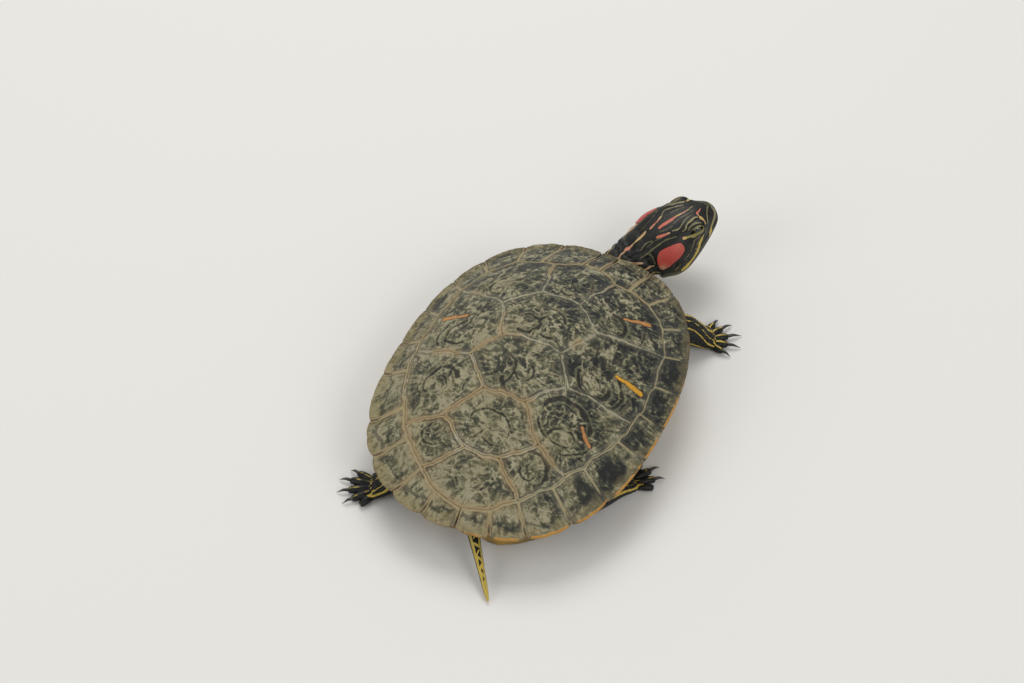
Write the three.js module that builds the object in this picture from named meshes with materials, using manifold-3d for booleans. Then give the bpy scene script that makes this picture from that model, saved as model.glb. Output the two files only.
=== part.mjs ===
// A life-size red-eared slider, walking with the underside of its shell on the ground.
// Its head is turned to its right.
// Millimetres. The turtle faces -Y, its left is +X and +Z is up.
// The origin lies on the ground under the middle of the shell.
import * as THREE from "three";
import { mergeVertices } from "three/addons/utils/BufferGeometryUtils.js";
import Module from "manifold-3d";

const wasm = await Module();
wasm.setup();

// Driving dimensions
const shell = {
  length: 210, // carapace, front edge to rear edge
  width: 152,
  leftStretch: 1.055, // this one grew slightly wider on its left
  squareness: 2.43, // 2 is an ellipse
  rearSpread: 0.013, // the share by which it widens towards the rear
  rimHeight: 29, // of the side edge above the ground
  frontRise: 5, // the front edge stands this much higher
  rearRise: -4,
  dome: 42.2, // the top above the side edge
  roundness: 1.89,
  sideFlare: 1.23, // 1 meets the edge at a slope, more flattens out towards it
  frontFlare: 1.04,
  rearFlare: 1.29,
  thickness: 2.6,
  seam: 0.4, // width of the gap between two scutes
  saw: 2.2, // depth of the notches in the rear edge
};
const seamInset = 0.62 * shell.seam; // a little over half a seam, as each plate shrinks towards its middle
const marginal = {
  bulge: 4.2, // depth of its middle
  bridgeDrop: 7, // how far it hangs below the rim where it meets the bridge
  lipIn: 0.8, // the lower corner of the edge lies this far in and this far down
  lipDepth: 2.4,
  endInset: 0.3, // gap at the ends, at the inner seam in mm and at the edge in radians
  endTurn: 0.0042,
};
const plastron = {
  front: -97,
  rear: 88,
  thickness: 4.5,
  notch: 6, // between its two rear tips
  flatHalf: 46, // half width of the part that lies flat on the ground
  flatLength: 66, // half length of the same
  bridgeHalf: 68, // half width where it meets the marginals
  bridgeLift: 20.8,
  bridgeFront: -48,
  bridgeRear: 18,
  bridgeBend: 4, // each end of the bridge bends over twice this length
  frontTurn: 5, // how far its ends turn up
  rearTurn: 3,
};
const trunk = {
  gap: 1.4, // between it and the shell
  sideShare: 0.76, // how far out it reaches, as shares of the way to the shell's edge
  endShare: 0.82,
  rise: 3, // its underside lifts this far in the leg pockets
};
const head = {
  snout: [-40.9, -155.6, 40.5],
  turn: 38.5, // degrees to the turtle's right
  raise: 16, // degrees up
  length: 48,
  halfWidth: 19.4,
  eyeBack: 16.4, // places of the eyes and mouth from the tip of the snout
  eyeOut: 9.4,
  eyeOver: 6,
  eyeRadius: 4.4,
  mouth: -2.6,
  jawLength: 25,
};
const cut = 0.4; // thickness of the cuts that part the body

// Colours
const material = (color, roughness) => new THREE.MeshStandardMaterial({ color, roughness, metalness: 0 });
const materials = {
  scute: material(0x4a4a38, 0.6),
  margin: material(0x5c563c, 0.6),
  plastron: material(0xb89a4a, 0.55),
  skin: material(0x23271f, 0.65),
  eye: material(0x6e7a32, 0.15),
  claw: material(0x2b2620, 0.4),
};

// Small helpers
const V = (x, y, z) => new THREE.Vector3(x, y, z);
const mix = THREE.MathUtils.lerp;
const rad = THREE.MathUtils.degToRad;
const smooth = (x, low, high) => THREE.MathUtils.smoothstep(x, low, high);
const up = V(0, 0, 1);

// A closed geometry with its shared corners joined and its faces turned outwards.
function outward(geometry) {
  const bare = geometry.clone();
  bare.deleteAttribute("normal");
  bare.deleteAttribute("uv");
  const merged = mergeVertices(bare, 1e-4);
  const index = merged.index.array;
  const [a, b, c] = [V(), V(), V()];
  let volume = 0;
  for (let i = 0; i < index.length; i += 3) {
    [a, b, c].forEach((v, k) => v.fromBufferAttribute(merged.attributes.position, index[i + k]));
    volume += a.dot(b.cross(c));
  }
  if (volume < 0) index.reverse();
  return merged;
}

function solidOf(geometry) {
  const { attributes, index } = outward(geometry);
  const vertProperties = new Float32Array(attributes.position.array);
  const triVerts = new Uint32Array(index.array);
  return new wasm.Manifold(new wasm.Mesh({ numProp: 3, vertProperties, triVerts }));
}

function geometryOf(solid) {
  const mesh = solid.getMesh();
  const geometry = new THREE.BufferGeometry();
  geometry.setAttribute("position", new THREE.BufferAttribute(new Float32Array(mesh.vertProperties), 3));
  geometry.setIndex(new THREE.BufferAttribute(new Uint32Array(mesh.triVerts), 1));
  return geometry;
}

// A table of [place, value] pairs read as a smooth curve.
function along(table, place) {
  const last = table.length - 1;
  if (place <= table[0][0]) return table[0][1];
  if (place >= table[last][0]) return table[last][1];
  const i = table.findIndex(([x]) => x > place) - 1;
  const [x0, y0] = table[i];
  const [x1, y1] = table[i + 1];
  const before = i > 0 ? (y1 - table[i - 1][1]) / (x1 - table[i - 1][0]) : (y1 - y0) / (x1 - x0);
  const after = i + 2 <= last ? (table[i + 2][1] - y0) / (table[i + 2][0] - x0) : (y1 - y0) / (x1 - x0);
  const w = x1 - x0;
  const t = (place - x0) / w;
  const t2 = t * t;
  const t3 = t2 * t;
  const values = (2 * t3 - 3 * t2 + 1) * y0 + (3 * t2 - 2 * t3) * y1;
  const slopes = (t3 - 2 * t2 + t) * before + (t3 - t2) * after;
  return values + w * slopes;
}

// The carapace as one surface
// 0 on the line down the middle of the dome, 1 at the edge.
const halfWidthAt = (y) => (shell.width / 2) * (1 + (shell.rearSpread * y) / (shell.length / 2));
const spread = (x) => (x > 0 ? x * shell.leftStretch : x);
function reach(x, y) {
  const p = shell.squareness;
  const even = x > 0 ? x / shell.leftStretch : x;
  return (Math.abs(even / halfWidthAt(y)) ** p + Math.abs((2 * y) / shell.length) ** p) ** (1 / p);
}

function shellHeight(x, y) {
  const r = Math.max(reach(x, y), 1e-6);
  const lengthwise = (2 * y) / shell.length / r;
  const front = Math.min(Math.max(-lengthwise, 0), 1) ** 2;
  const rear = Math.min(Math.max(lengthwise, 0), 1) ** 2;
  const { sideFlare, frontFlare, rearFlare } = shell;
  const flare = sideFlare + (frontFlare - sideFlare) * front + (rearFlare - sideFlare) * rear;
  const edge = shell.rimHeight + (shell.frontRise * front + shell.rearRise * rear) * Math.min(r, 1) ** 2;
  return edge + shell.dome * Math.max(1 - r ** shell.roundness, 0) ** flare;
}

// The point at a share of the way to the edge, in a direction t: 0 is the front and pi the rear.
function edgePoint(t, share = 1) {
  const power = 2 / shell.squareness;
  const y = (-share * Math.sign(Math.cos(t)) * Math.abs(Math.cos(t)) ** power * shell.length) / 2;
  const x = share * Math.sign(Math.sin(t)) * Math.abs(Math.sin(t)) ** power * halfWidthAt(y);
  return [spread(x), y];
}

function shellNormal(x, y) {
  const d = 0.5;
  const slopeX = (shellHeight(x + d, y) - shellHeight(x - d, y)) / (2 * d);
  const slopeY = (shellHeight(x, y + d) - shellHeight(x, y - d)) / (2 * d);
  return V(-slopeX, -slopeY, 1).normalize();
}

// Where the scutes meet, on the turtle's left, seen from above
const corner = {
  nuchal: [5, -79.5],
  firstVertebral: [18, -70.5],
  vertebral12: [10.5, -38],
  costal12: [27, -24],
  vertebral23: [17, 1.5],
  costal23: [28, 18],
  vertebral34: [11.5, 37],
  costal34: [27, 54],
  vertebral45: [10, 68],
  lastVertebral: [0, 94.5],
};
// The seam between costals and marginals: one corner for each pair of marginals, nuchal to tail.
const marginCorner = [
  corner.nuchal,
  [26, -70.5],
  [38, -69],
  [51, -59],
  [58.5, -42],
  [62, -21],
  [63, 1],
  [60.5, 24.5],
  [51, 50],
  [41, 68],
  [27.5, 81.5],
  [15.5, 90.5],
  corner.lastVertebral,
];
// Where the same seams reach the edge, as directions in degrees from the front.
const marginSeam = [2.1, 15.3, 31, 49.3, 63.7, 77.7, 89.4, 98.7, 118, 134.5, 154, 169, 180];
const onMargin = (k, share) => [
  mix(marginCorner[k][0], marginCorner[k + 1][0], share),
  mix(marginCorner[k][1], marginCorner[k + 1][1], share),
];
const costal23Edge = onMargin(6, 0.38);
const costal34Edge = onMargin(8, 0.55);

const mirrored = (points) => points.map(([x, y]) => [-x, y]).reverse();
const bothSides = (points) => [...points, ...mirrored(points)];
const vertebrals = [
  bothSides([corner.nuchal, corner.firstVertebral, corner.vertebral12]),
  bothSides([corner.vertebral12, corner.costal12, corner.vertebral23]),
  bothSides([corner.vertebral23, corner.costal23, corner.vertebral34]),
  bothSides([corner.vertebral34, corner.costal34, corner.vertebral45]),
  [
    corner.vertebral45,
    marginCorner[10],
    marginCorner[11],
    corner.lastVertebral,
    ...mirrored([corner.vertebral45, marginCorner[10], marginCorner[11]]),
  ],
];
const costals = [
  [corner.firstVertebral, ...marginCorner.slice(1, 5), corner.costal12, corner.vertebral12],
  [corner.costal12, ...marginCorner.slice(4, 7), costal23Edge, corner.costal23, corner.vertebral23],
  [
    corner.costal23,
    costal23Edge,
    ...marginCorner.slice(7, 9),
    costal34Edge,
    corner.costal34,
    corner.vertebral34,
  ],
  [corner.costal34, costal34Edge, ...marginCorner.slice(9, 11), corner.vertebral45],
];

// A scute: a plate that follows the carapace, inset from its neighbours by half a seam
function plate(outline) {
  const n = outline.length;
  const centre = outline.reduce(([a, b], [x, y]) => [a + x / n, b + y / n], [0, 0]);
  const perEdge = 2;
  const ring = [];
  outline.forEach(([x, y], i) => {
    const [nextX, nextY] = outline[(i + 1) % n];
    for (let k = 0; k < perEdge; k++) ring.push([mix(x, nextX, k / perEdge), mix(y, nextY, k / perEdge)]);
  });
  const inset = ring.map(([x, y]) => {
    const far = Math.hypot(x - centre[0], y - centre[1]);
    const share = 1 - seamInset / far;
    return [mix(centre[0], x, share), mix(centre[1], y, share)];
  });
  const shares = [1, 0.55];
  const positions = [];
  const layer = (depth) => {
    const place = ([x, y], share) => {
      const atX = spread(mix(centre[0], x, share));
      const atY = mix(centre[1], y, share);
      const at = V(atX, atY, shellHeight(atX, atY)).addScaledVector(shellNormal(atX, atY), -depth);
      positions.push(at.x, at.y, at.z);
    };
    for (const share of shares) inset.forEach((point) => place(point, share));
    place(centre, 1);
  };
  layer(0);
  layer(shell.thickness);
  const count = inset.length;
  const perLayer = shares.length * count + 1;
  const index = [];
  for (const [start, flip] of [[0, false], [perLayer, true]]) {
    const triangle = (a, b, c) => index.push(...(flip ? [a, c, b] : [a, b, c]).map((v) => v + start));
    for (let i = 0; i < count; i++) {
      const j = (i + 1) % count;
      for (let ringNumber = 0; ringNumber < shares.length - 1; ringNumber++) {
        const outer = ringNumber * count;
        const inner = outer + count;
        triangle(outer + i, outer + j, inner + j);
        triangle(outer + i, inner + j, inner + i);
      }
      const innermost = (shares.length - 1) * count;
      triangle(innermost + i, innermost + j, perLayer - 1);
    }
  }
  for (let i = 0; i < count; i++) {
    const j = (i + 1) % count;
    index.push(i, perLayer + i, perLayer + j, i, perLayer + j, j);
  }
  const geometry = new THREE.BufferGeometry();
  geometry.setAttribute("position", new THREE.Float32BufferAttribute(positions, 3));
  geometry.setIndex(index);
  return geometry;
}

// The marginals: a wedge-shaped strip round the edge
// Rows run along the edge; each is a closed section, out from the costal seam to the edge and back underneath.
function marginStrip(rows) {
  const positions = [];
  for (const { inner, angle, sawDepth } of rows) {
    const [edgeX, edgeY] = edgePoint(angle);
    const away = V(edgeX, edgeY, 0).normalize();
    const outX = edgeX - away.x * sawDepth;
    const outY = edgeY - away.y * sawDepth;
    const inX = inner[0] + away.x * seamInset;
    const inY = inner[1] + away.y * seamInset;
    const edgeZ = shellHeight(edgeX, edgeY);
    const fromFront = Math.abs(angle);
    const bridge = smooth(fromFront, rad(48), rad(62)) * (1 - smooth(fromFront, rad(108), rad(124)));
    const top = (share) => {
      const x = mix(inX, edgeX, share);
      const y = mix(inY, edgeY, share);
      return V(mix(inX, outX, share), mix(inY, outY, share), mix(shellHeight(x, y), edgeZ, share ** 4));
    };
    const middle = top(0.5);
    const under = top(0.42);
    under.z = mix(under.z - marginal.bulge, shell.rimHeight - marginal.bridgeDrop, bridge);
    const rootDepth = shell.thickness + 1;
    const root = V(inX, inY, shellHeight(inX, inY)).addScaledVector(shellNormal(inX, inY), -rootDepth);
    const rootFoot = V(mix(root.x, inX, bridge), mix(root.y, inY, bridge), root.z);
    const lip = V(outX - away.x * marginal.lipIn, outY - away.y * marginal.lipIn, edgeZ - marginal.lipDepth);
    for (const at of [top(0), middle, top(1), lip, under, rootFoot]) positions.push(at.x, at.y, at.z);
  }
  const section = 6;
  const index = [];
  for (let i = 0; i + 1 < rows.length; i++)
    for (let k = 0; k < section; k++) {
      const a = i * section + k;
      const b = i * section + ((k + 1) % section);
      index.push(a, b, b + section, a, b + section, a + section);
    }
  const end = (start, flip) => {
    for (const [a, b, c] of [[0, 5, 1], [1, 5, 4], [1, 4, 2], [2, 4, 3]])
      index.push(...(flip ? [a, c, b] : [a, b, c]).map((v) => v + start));
  };
  end(0, false);
  end((rows.length - 1) * section, true);
  const geometry = new THREE.BufferGeometry();
  geometry.setAttribute("position", new THREE.Float32BufferAttribute(positions, 3));
  geometry.setIndex(index);
  return geometry;
}

// One side's marginals, first to last.
function marginals(side) {
  const rows = [];
  const steps = 3;
  for (let k = 0; k < 12; k++)
    for (let s = k === 0 ? 0 : 1; s <= steps; s++) {
      const u = s / steps;
      let inner = onMargin(k, u);
      if (k === 0) {
        const bend = 0.6;
        const [from, to, local] =
          u < bend
            ? [marginCorner[0], corner.firstVertebral, u / bend]
            : [corner.firstVertebral, marginCorner[1], (u - bend) / (1 - bend)];
        inner = [mix(from[0], to[0], local), mix(from[1], to[1], local)];
      }
      const angle = rad(mix(marginSeam[k], marginSeam[k + 1], u));
      const rear = smooth(angle, rad(95), rad(135));
      rows.push({
        inner: [spread(side * inner[0]), inner[1]],
        angle: side * angle,
        sawDepth: rear * shell.saw * Math.abs(2 * u - 1) ** 3,
      });
    }
  // Both ends stand back a little, from the nuchal scute and from the other side.
  for (const row of [rows[0], rows[rows.length - 1]]) {
    row.inner = [row.inner[0] + side * marginal.endInset, row.inner[1]];
    row.angle += side * (row === rows[0] ? marginal.endTurn : -marginal.endTurn);
  }
  return marginStrip(rows);
}

function nuchal() {
  const steps = 2;
  const rows = [];
  for (let s = -steps; s <= steps; s++) {
    const share = s / steps;
    rows.push({
      inner: [share * (corner.nuchal[0] - marginal.endInset), corner.nuchal[1]],
      angle: share * (rad(marginSeam[0]) - marginal.endTurn),
      sawDepth: 0,
    });
  }
  return marginStrip(rows);
}

// The plastron, whose sides rise to the marginals as the bridges
// Half widths of its flat part, from the front tip to the rear one.
const lobeHalfWidth = [
  [-97, 22],
  [-88, 33],
  [-70, 41],
  [-50, 45],
  [30, 44],
  [55, 44],
  [72, 38],
  [82, 28],
  [88, 18],
];
function bridgeAt(y) {
  const { bridgeFront, bridgeRear, bridgeBend } = plastron;
  const begun = smooth(y, bridgeFront - bridgeBend, bridgeFront + bridgeBend);
  return begun * (1 - smooth(y, bridgeRear - bridgeBend, bridgeRear + bridgeBend));
}
const plastronHalfWidth = (y) => mix(along(lobeHalfWidth, y), plastron.bridgeHalf, bridgeAt(y));
function plastronUnder(x, y) {
  const turnEnd = 110; // the ends would be fully turned up this far out, past their tips
  const bridge = plastron.bridgeLift * smooth(Math.abs(x), plastron.flatHalf, shell.width / 2);
  const front = plastron.frontTurn * smooth(-y, plastron.flatLength, turnEnd);
  const rear = plastron.rearTurn * smooth(y, plastron.flatLength, turnEnd);
  return bridge + front + rear;
}
const plastronTop = (x, y) => plastronUnder(x, y) + plastron.thickness;

function plastronGeometry() {
  const box = new THREE.BoxGeometry(2, 1, 1, 6, 16, 1);
  const position = box.attributes.position;
  const frontCurve = 2.5; // its front corners stand this far behind the front tip
  for (let i = 0; i < position.count; i++) {
    const u = position.getX(i);
    const v = position.getY(i) + 0.5;
    const rearEnd = plastron.rear - plastron.notch * Math.max(0, 1 - Math.abs(u) * 1.4);
    const frontEnd = plastron.front + frontCurve * u * u;
    const y = mix(frontEnd, rearEnd, v);
    const x = u * plastronHalfWidth(y);
    position.setXYZ(i, x, y, position.getZ(i) > 0 ? plastronTop(x, y) : plastronUnder(x, y));
  }
  return box;
}

// Lofts
function pathOf(stations) {
  const points = stations.map(([x, y, z]) => V(x, y, z));
  return new THREE.CatmullRomCurve3(points, false, "centripetal");
}

// A closed tube along stations [x, y, z, half width, half height], with round ends.
// Grow thickens it all round.
function loft(stations, { sides = 10, rings = 13, grow = 0 } = {}) {
  const path = pathOf(stations);
  const last = stations.length - 1;
  const sphere = new THREE.SphereGeometry(1, sides, rings);
  const { uv, position } = sphere.attributes;
  for (let i = 0; i < position.count; i++) {
    const even = 1 - uv.getY(i);
    const t = mix(even, (1 - Math.cos(Math.PI * even)) / 2, 0.6); // rings draw together towards the ends
    const angle = 2 * Math.PI * uv.getX(i);
    const half = (column) => along(stations.map((station, n) => [n / last, station[column]]), t) + grow;
    const fromEnd = Math.min(t, 1 - t) * last * 2;
    const close = fromEnd < 1 ? Math.sqrt(1 - (1 - fromEnd) ** 2) : 1;
    const tangent = path.getTangent(Math.min(Math.max(t, 0.001), 0.999));
    const side = tangent.clone().cross(up).normalize();
    const over = side.clone().cross(tangent);
    const at = path.getPoint(t);
    at.addScaledVector(side, close * half(3) * Math.cos(angle));
    at.addScaledVector(over, close * half(4) * Math.sin(angle));
    if (fromEnd < 1e-6) at.addScaledVector(tangent, t < 0.5 ? -grow : grow);
    position.setXYZ(i, at.x, at.y, at.z);
  }
  return solidOf(sphere);
}

function boxSolid(width, depth, height, centre, turn = new THREE.Quaternion()) {
  const box = new THREE.BoxGeometry(width, depth, height);
  box.applyQuaternion(turn);
  box.translate(centre.x, centre.y, centre.z);
  return solidOf(box);
}

// All the space past a point, looking along a direction.
const reachOfSpace = 300;
function spacePast(point, direction) {
  const turn = new THREE.Quaternion().setFromUnitVectors(up, direction);
  const centre = point.clone().addScaledVector(direction, reachOfSpace / 2);
  return boxSolid(reachOfSpace, reachOfSpace, reachOfSpace, centre, turn);
}

// All the space past a share of a path, moved on by a shift.
function spaceAlong(stations, share, shift) {
  const path = pathOf(stations);
  const direction = path.getTangent(share);
  return spacePast(path.getPoint(share).addScaledVector(direction, shift), direction);
}

const aboveGround = boxSolid(600, 600, 200, V(0, 0, 100));

// The soft body inside the shell, which shows in the leg pockets and round the neck
function trunkSolid() {
  const sphere = new THREE.SphereGeometry(1, 24, 9);
  const { uv, position } = sphere.attributes;
  for (let i = 0; i < position.count; i++) {
    const angle = 2 * Math.PI * uv.getX(i);
    const lift = Math.PI * (uv.getY(i) - 0.5); // a quarter turn down underneath, a quarter turn up on top
    const atSide = smooth(Math.abs(Math.sin(angle)), 0.7, 0.95);
    const level = Math.max(Math.cos(lift), 0);
    const share = mix(trunk.endShare, trunk.sideShare, atSide) * (level < 1e-6 ? 0 : level ** 0.55);
    const [x, y] = edgePoint(angle, share);
    const under = V(x, y, shellHeight(x, y)).addScaledVector(shellNormal(x, y), -shell.thickness - trunk.gap);
    const rise = trunk.rise * smooth(reach(x, y), 0.5, 0.8);
    const floor = Math.max(plastronTop(x, y), plastron.thickness + rise);
    const height = (Math.sin(lift) * 0.5 + 0.5) ** (lift > 0 ? 0.45 : 1.2);
    position.setXYZ(i, under.x, under.y, mix(floor + trunk.gap, under.z, height));
  }
  return solidOf(sphere);
}

// Legs: stations [x, y, z, half width, half height], from inside the body outwards
const legs = {
  fore_right: {
    side: -1,
    stations: [
      [-24, -66, 21, 11, 9],
      [-38, -77, 18.5, 10.5, 8.5],
      [-50, -86, 15, 9.5, 8],
      [-57, -90.5, 9.6, 8.5, 6.5],
      [-61.5, -93.5, 5.6, 8.3, 4.6],
      [-66, -97, 3, 8.4, 3.2],
    ],
  },
  fore_left: {
    side: 1,
    stations: [
      [24, -64, 21, 11, 9],
      [38, -69, 18.5, 10.5, 8.5],
      [47, -74, 14.5, 9.5, 8],
      [51, -78, 9.6, 8.5, 6.5],
      [53.5, -82.5, 5.6, 8.3, 4.6],
      [56, -88, 3, 8.4, 3.2],
    ],
  },
  hind_right: {
    side: -1,
    stations: [
      [-28, 62, 21, 12.5, 11],
      [-44, 58, 19, 12, 10],
      [-52, 50, 15.5, 10, 8.6],
      [-56, 39, 9.5, 8.8, 6.6],
      [-60, 27, 5.6, 8.6, 4.4],
      [-65.5, 16, 3, 9.4, 3.1],
    ],
  },
  hind_left: {
    side: 1,
    stations: [
      [26, 60, 21, 12.5, 11],
      [39, 66, 18.5, 12, 10],
      [46, 70.5, 14.5, 10.5, 9],
      [51, 74, 9.5, 8.8, 6.8],
      [55, 77, 5.6, 8.6, 4.6],
      [60.5, 79.5, 3, 9.4, 3.1],
    ],
  },
};
// Shares of a leg's path where it is parted: at the body, the elbow or knee, and the wrist or ankle.
const legCuts = [0.2, 0.42, 0.68];

// Toes: [angle from the leg's line in degrees, reach, half width, length of the claw, 0 for none].
const toes = {
  fore: [
    [-46, 9, 2.1, 5],
    [-23, 11, 2.2, 6.5],
    [0, 12, 2.3, 7],
    [22, 11, 2.2, 6.5],
    [46, 8.5, 2.1, 4.5],
  ],
  hind: [
    [-36, 13, 2.2, 4.5],
    [-16, 15.5, 2.4, 5.5],
    [4, 16, 2.5, 5.5],
    [23, 15, 2.4, 5],
    [43, 11.5, 2.2, 0],
  ],
};
const toeHeight = 2.1;
const clawSeat = 1; // the claw starts this far back from the tip of the toe
const web = {
  thickness: 1.1,
  height: 1.2, // above the ground
  fore: 0.5, // the share of a toe's length that it reaches
  hind: 0.8,
};

// Where a toe starts, the way it points and its tip.
// Negative angles lie towards the turtle's middle or front.
function toeLine({ side, stations }, [angle, length]) {
  const [ankle, end] = stations.slice(-2).map(([x, y]) => V(x, y, toeHeight));
  const forward = end.clone().sub(ankle).normalize();
  const across = V(side * forward.y, -side * forward.x, 0);
  const direction = forward.clone().applyAxisAngle(up, side * rad(angle));
  const root = end.clone().addScaledVector(across, -0.1 * angle).addScaledVector(forward, -3);
  return { forward, direction, root, tip: root.clone().addScaledVector(direction, length) };
}

function toeSolid(leg, toe) {
  const { root, tip, direction } = toeLine(leg, toe);
  const width = toe[2];
  const knuckle = root.clone().lerp(tip, 0.6);
  const stations = [
    [root.x, root.y, toeHeight, width, 2],
    [knuckle.x, knuckle.y, toeHeight + 0.5, width * 1.05, 2.1],
    [tip.x, tip.y, toeHeight - 0.2, width * 0.75, 1.6],
  ];
  const whole = loft(stations, { sides: 6, rings: 4 });
  const end = tip.clone().addScaledVector(direction, -clawSeat);
  return toe[3] ? whole.subtract(spacePast(end, direction)) : whole;
}

// The skin stretched between two neighbouring toes.
function webSolid(leg, toeA, toeB, share) {
  const a = toeLine(leg, toeA);
  const b = toeLine(leg, toeB);
  const start = a.root.clone().lerp(b.root, 0.5).addScaledVector(a.forward, -2);
  const edgeA = a.root.clone().lerp(a.tip, share);
  const edgeB = b.root.clone().lerp(b.tip, share);
  const hollow = edgeA.clone().lerp(edgeB, 0.5).addScaledVector(a.forward, -1.2);
  const outline = new THREE.Shape();
  outline.moveTo(start.x, start.y);
  outline.lineTo(edgeA.x, edgeA.y);
  outline.quadraticCurveTo(hollow.x, hollow.y, edgeB.x, edgeB.y);
  outline.closePath();
  const shape = { depth: web.thickness, bevelEnabled: false, curveSegments: 1 };
  const skin = new THREE.ExtrudeGeometry(outline, shape);
  skin.translate(0, 0, web.height);
  return solidOf(skin);
}

// A claw curves down to its point; its flat base faces the cut end of the toe.
function clawSolid({ tip, direction }, length) {
  const at = (place, z) => tip.clone().addScaledVector(direction, place).setZ(z).toArray();
  const stations = [
    [...at(-clawSeat - 1.5, 2.1), 1.2, 1.1],
    [...at(length * 0.3, 2.2), 1.1, 1],
    [...at(length, 0.9), 0.3, 0.3],
  ];
  const base = tip.clone().addScaledVector(direction, cut - clawSeat);
  return loft(stations, { sides: 6, rings: 4 }).intersect(spacePast(base, direction));
}

// Neck and tail
const neckStations = [
  [0, -58, 22, 13, 9],
  [0, -78, 18.5, 13.8, 9.3],
  [-1.5, -94, 18, 13.8, 9],
  [-5.5, -108, 21.8, 13.8, 10],
  [-12, -120, 27, 14, 11],
  [-20, -131, 31, 13.5, 11],
];
const neckRoot = 0.26; // the share of its path where it leaves the trunk
const tailStations = [
  [0, 70, 20, 11, 9],
  [-3, 84, 17.5, 7.5, 7],
  [-9, 97, 14.5, 4.3, 4.2],
  [-18.5, 110, 8.5, 2.9, 2.8],
  [-30.3, 126, 1.8, 1.2, 1.2],
];
const tailCuts = [0.2, 0.55]; // where it leaves the trunk, and where it is parted

// The head, measured back from the tip of the snout
const headHalfWidth = [
  [0, 3.2],
  [3, 6.4],
  [8, 9.6],
  [14, 12.8],
  [20, 15.6],
  [28, 18.4],
  [34, head.halfWidth],
  [41, 17.6],
  [48, 14.4],
];
const headTop = [
  [0, 3],
  [3, 5.6],
  [8, 8.8],
  [14, 11.2],
  [20, 12.6],
  [30, 13],
  [40, 12.4],
  [48, 10.8],
];
const headUnder = [
  [0, 5.4],
  [4, 8.2],
  [10, 11],
  [20, 14.4],
  [30, 17.4],
  [40, 17.6],
  [48, 13.5],
];
// How far its widest level lies below the eyes' level
const headDrop = [
  [0, 0.4],
  [8, 0.8],
  [20, 1.4],
  [32, 1.6],
  [42, 1.2],
  [48, 0.3],
];
const crownBend = { tall: 0.9, wide: 0.82 }; // rounder above the widest level than below it
const jawBend = { tall: 0.6, wide: 0.6 };
const backwards = V(0, 1, 0).applyEuler(new THREE.Euler(rad(-head.raise), 0, rad(-head.turn), "ZXY"));
const leftwards = V(backwards.y, -backwards.x, 0).normalize();
const overwards = leftwards.clone().cross(backwards);
const snout = V(...head.snout);
function headPoint(back, left, over) {
  const at = snout.clone().addScaledVector(backwards, back);
  return at.addScaledVector(leftwards, left).addScaledVector(overwards, over);
}

function headSolid() {
  const sphere = new THREE.SphereGeometry(1, 18, 14);
  const { uv, position } = sphere.attributes;
  const bend = (value, power) => Math.sign(value) * Math.abs(value) ** power;
  for (let i = 0; i < position.count; i++) {
    const t = 1 - uv.getY(i);
    const angle = 2 * Math.PI * uv.getX(i);
    const back = head.length * t ** 1.15;
    const open = Math.min(1, t * 22, (1 - t) * 22);
    const sin = Math.sin(angle);
    const drop = along(headDrop, back);
    const reach = sin > 0 ? along(headTop, back) + drop : along(headUnder, back) - drop;
    const power = sin > 0 ? crownBend : jawBend;
    const tall = reach * bend(sin, power.tall) - drop;
    const wide = along(headHalfWidth, back) * bend(Math.cos(angle), power.wide);
    position.setXYZ(i, ...headPoint(back, wide * open, tall * open).toArray());
  }
  return solidOf(sphere);
}

function eyeSphere(side, radius) {
  const ball = new THREE.SphereGeometry(radius, 10, 7);
  ball.translate(...headPoint(head.eyeBack, side * head.eyeOut, head.eyeOver).toArray());
  return solidOf(ball);
}

// The block of the head below the mouth and in front of the jaw's corner, widened by a gap.
function jawSpace(grow) {
  const size = 100;
  const middle = headPoint(head.jawLength + grow - size / 2, 0, head.mouth + grow - size / 2);
  const headAxes = new THREE.Matrix4().makeBasis(leftwards, backwards, overwards);
  return boxSolid(size, size, size, middle, new THREE.Quaternion().setFromRotationMatrix(headAxes));
}

// The turtle
const turtle = new THREE.Group();
function add(name, shape, look) {
  const mesh = new THREE.Mesh(shape.isBufferGeometry ? outward(shape) : geometryOf(shape), materials[look]);
  mesh.name = name;
  turtle.add(mesh);
}

vertebrals.forEach((outline, i) => add(`vertebral_${i + 1}`, plate(outline), "scute"));
costals.forEach((outline, i) => {
  add(`costal_left_${i + 1}`, plate(outline), "scute");
  add(`costal_right_${i + 1}`, plate(mirrored(outline)), "scute");
});
add("nuchal", nuchal(), "margin");
add("marginals_left", marginals(1), "margin");
add("marginals_right", marginals(-1), "margin");
add("plastron", plastronGeometry(), "plastron");

// The trunk makes room for every limb: the limb's own shape, grown by a cut, as far as the limb's root.
let body = trunkSolid();
function makeRoom(stations, root, shape) {
  const room = loft(stations, { ...shape, grow: cut });
  body = body.subtract(room.intersect(spaceAlong(stations, root, -cut / 2)));
}

for (const [name, leg] of Object.entries(legs)) {
  const kind = name.startsWith("fore") ? "fore" : "hind";
  const { stations } = leg;
  let whole = loft(stations);
  toes[kind].forEach((toe) => (whole = whole.add(toeSolid(leg, toe))));
  for (let i = 0; i + 1 < toes[kind].length; i++)
    whole = whole.add(webSolid(leg, toes[kind][i], toes[kind][i + 1], web[kind]));
  whole = whole.intersect(aboveGround);
  legCuts.forEach((share, i) => {
    let length = whole.intersect(spaceAlong(stations, share, cut / 2));
    if (i < 2) length = length.subtract(spaceAlong(stations, legCuts[i + 1], -cut / 2));
    add(`${name}_${["upper", "lower", "foot"][i]}`, length, "skin");
  });
  makeRoom(stations, legCuts[0]);
  toes[kind].forEach((toe, i) => {
    if (toe[3]) add(`${name}_claw_${i + 1}`, clawSolid(toeLine(leg, toe), toe[3]), "claw");
  });
}

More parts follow.
